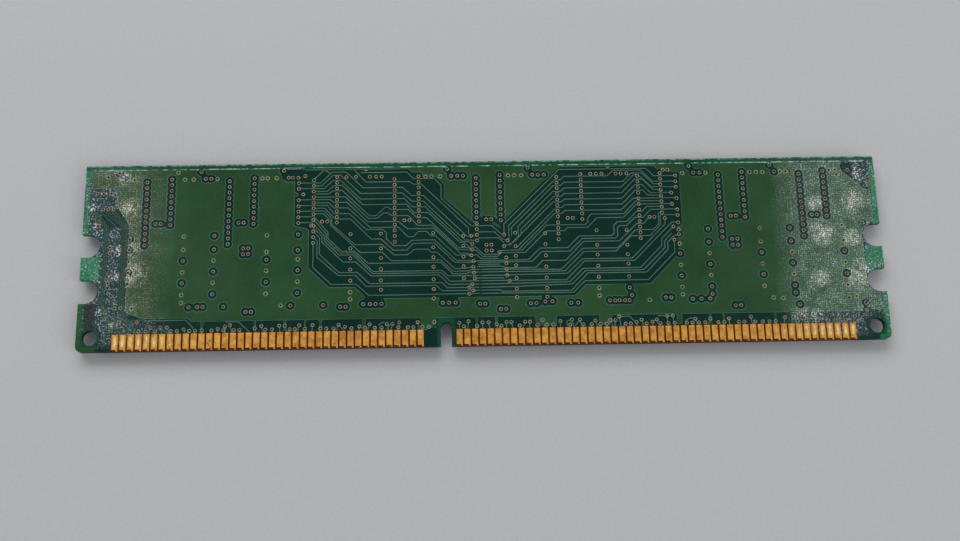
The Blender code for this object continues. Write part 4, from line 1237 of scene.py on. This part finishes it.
padSpots = []
for centre in siteCentres:
    padSpots += padRow(centre, chip["middle"], chip["leadCount"], pads["leadX"], chip["leadPitch"])
    for side in (-1, 1):
        x = centre + side * array["offset"]
        padSpots += padRow(x, array["y"], array["padCount"], pads["arrayY"], array["padPitch"], False)
padSpots += padRow(presence["x"], presence["y"], presence["leadCount"], pads["presenceY"], chip["leadPitch"],
                   False)
padTop = frontBase + pads["height"] * mm
padBottom = seat + pads["seatGap"] * mm
padSize = (pads["length"] * mm, pads["width"] * mm, padTop - padBottom)
padPattern = softBlock(padSize, (0, 0, (padTop + padBottom) / 2), pads["edge"], looks["solder"], 1)
leftPads = [spot for spot in padSpots if spot[0] < pads["splitX"]]
rightPads = [spot for spot in padSpots if spot[0] >= pads["splitX"]]
for name, spots in (("frontPadsLeft", leftPads), ("frontPadsRight", rightPads)):
    finishPiece(manyCopies(name, padPattern, spots), "tinned_lead")
bpy.data.objects.remove(padPattern)

# windows in the front pour: half width, lower and upper edge, or both pairs of edges, and holes round vias
windows = {
    "lead": (0.72, 7.75, 29.45), "array": (1.8, 4.4, 7.9), "presence": (1.9, 5.6, 21.8, 29.2),
    "viaGap": 0.1, "viaSteps": 10, "lowest": 4.9, "rim": 0.05,
}


def rectangle(left, right, bottom, top):
    return [(left, bottom), (right, bottom), (right, top), (left, top)]


viaHole = vias["ring"] + windows["viaGap"]
frontHoles = [circle(x, y, viaHole, windows["viaSteps"]) for x, y in allVias if y > windows["lowest"]]
for centre in siteCentres:
    for side in (-1, 1):
        for kind, offset in (("lead", pads["leadX"]), ("array", array["offset"])):
            x = centre + side * offset
            half, bottom, top = windows[kind]
            frontHoles.append(rectangle(x - half, x + half, bottom, top))
frontHoles.append(rectangle(*windows["presence"]))
frontPour = flatSheet("frontPour", [planeOutline], frontHoles, frontBase - pourHeight, frontBase, copperMask,
                      windows["rim"], outerUp=False)
finishPiece(frontPour, "solder_mask", "front_copper")

# bends of the traces on the front, from the contacts up
frontRoute = {
    "toArray": (2.8, 3.2, 3.9, 4.9), "fromArray": (6.4, 6.9, 7.0), "rise": 0.5, "padStep": 1.3,
    "edgeInset": 1.3, "edgeStep": 0.2, "padGap": 0.3, "leadEvery": 2, "leadLowest": 16.5, "bendX": 3.4,
    "viaX": 2.05, "topVia": 28.75, "viaCount": 11, "gapRun": ((0.0, 28.5), (0.0, 26.0), (-0.6, 25.4)),
}
arrayPads = [(centre, side, i)
             for centre in siteCentres for side in (-1, 1) for i in range(array["padCount"])]
frontTraces = []
for centre, side, i in arrayPads:
    x = centre + side * array["offset"] + padShift(i)
    nearest = nearestContact(x)
    xs = (nearest, nearest, x, x)
    frontTraces.append(list(zip(xs, frontRoute["toArray"])))
firstLead = chip["middle"] - (chip["leadCount"] - 1) / 2 * chip["leadPitch"]
for centre, side, i in arrayPads:
    x = centre + side * array["offset"] + padShift(i)
    inner, outer = (i, 3 - i) if side > 0 else (3 - i, i)
    padY = firstLead + inner * frontRoute["padStep"]
    edge = centre + side * (pads["leadX"] - frontRoute["edgeInset"] + frontRoute["edgeStep"] * outer)
    low, middle, high = frontRoute["fromArray"]
    frontTraces.append([(x, low), (x, middle), (edge, high + abs(edge - x) * frontRoute["rise"]),
                        (edge, padY - frontRoute["padGap"]), (centre + side * pads["leadX"], padY)])
for centre in siteCentres:
    for i in range(0, chip["leadCount"], frontRoute["leadEvery"]):
        padY = firstLead + i * chip["leadPitch"]
        below = frontRoute["topVia"] - padY
        viaY = frontRoute["topVia"] - round(min(max(below, 0), frontRoute["viaCount"]))
        if padY > frontRoute["leadLowest"]:
            frontTraces.append([(centre - pads["leadX"], padY), (centre - frontRoute["bendX"], padY),
                                (centre - frontRoute["viaX"], viaY)])
for x, _, _ in capSpots:
    frontTraces.append([(x + shift, y) for shift, y in frontRoute["gapRun"]])
frontLines = ridgeLines("frontTraces", frontTraces, traces["width"], traces["height"], frontBase, traceMask)
finishPiece(frontLines, "solder_mask")
print("stage: front of the board")

# the dies stay as they are, inside the packages
for name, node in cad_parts.items():
    if name.endswith("_die"):
        node.data.materials.clear()
        node.data.materials.append(looks["siliconGrey"])

# floor, light and camera
deselect()
bpy.ops.mesh.primitive_plane_add(size=3.0, location=(0, 0, -0.03 * mm))
floor = bpy.context.object
floor.name = "floor"
paper = ((0.585, 0.585, 0.59), (0.615, 0.615, 0.62), 0.0, 0.9, 1800.0, 0.25)
floor.data.materials.append(plainMaterial("paper", *paper))

studio = {
    "world": (0.84, 0.86, 0.90), "worldStrength": 0.40,
    "key": {"position": (-0.16, 0.56, 0.56), "size": (0.8, 0.47), "power": 3.2, "colour": (1.0, 0.99, 0.97)},
    "fill": {"position": (0.85, -0.45, 0.65), "size": (0.9, 0.8), "power": 2.6, "colour": (0.94, 0.97, 1.0)},
    "leftGlare": {"x": 5.0, "y": 15.5, "distance": 0.6, "size": (0.030, 0.10), "power": 0.05},
    "rightGlare": {"x": 127.5, "y": 17.0, "distance": 0.6, "size": (0.045, 0.10), "power": 0.06},
    "glareColour": (0.92, 0.97, 1.0),
}
world = bpy.data.worlds.new("studio")
bpy.context.scene.world = world
world.use_nodes = True
background = world.node_tree.nodes["Background"]
background.inputs["Color"].default_value = (*studio["world"], 1.0)
background.inputs["Strength"].default_value = studio["worldStrength"]


def areaLight(name, position, target, size, power, colour):
    deselect()
    bpy.ops.object.light_add(type="AREA", location=position)
    light = bpy.context.object
    light.name = name
    light.data.shape = "RECTANGLE"
    light.data.size, light.data.size_y = size
    light.data.energy = power
    light.data.color = colour
    light.rotation_euler = (Vector(target) - Vector(position)).to_track_quat("-Z", "Y").to_euler()
    return light


# the camera's turns in degrees, the board's place before it in millimetres, and its lens
view = {
    "turn": 0.8874, "lean": 1.4679, "tilt": -14.5695, "offset": (0.8212, 3.1986, -194.8886), "lens": 43.947,
    "nearest": 0.01,
}


def makeCamera():
    turn = Matrix.Rotation(math.radians(view["turn"]), 3, "Z")
    lean = Matrix.Rotation(math.radians(view["lean"]), 3, "Y")
    tilt = Matrix.Rotation(math.radians(view["tilt"]), 3, "X")
    facing = (turn @ lean @ tilt).transposed()
    spot = Vector((boardMiddle.x, boardMiddle.y, backFace)) - facing @ Vector(view["offset"]) * mm
    data = bpy.data.cameras.new("camera")
    data.lens = view["lens"]
    data.clip_start = view["nearest"]
    camera = addObject("camera", data)
    camera.matrix_world = Matrix.Translation(spot) @ facing.to_4x4()
    bpy.context.scene.camera = camera
    return spot


eye = makeCamera()
for name in ("key", "fill"):
    light = studio[name]
    areaLight(name, light["position"], (0, 0, 0), light["size"], light["power"], light["colour"])
for name in ("leftGlare", "rightGlare"):
    # each stands where the eye sees it reflected in one end of the board
    light = studio[name]
    spot = place(light["x"], light["y"], backFace)
    away = (spot - eye).normalized()
    away.z = -away.z
    position = spot + away * light["distance"]
    areaLight(name, position, spot, light["size"], light["power"], studio["glareColour"])
bpy.context.scene.view_settings.view_transform = "Standard"
print("stage: studio")
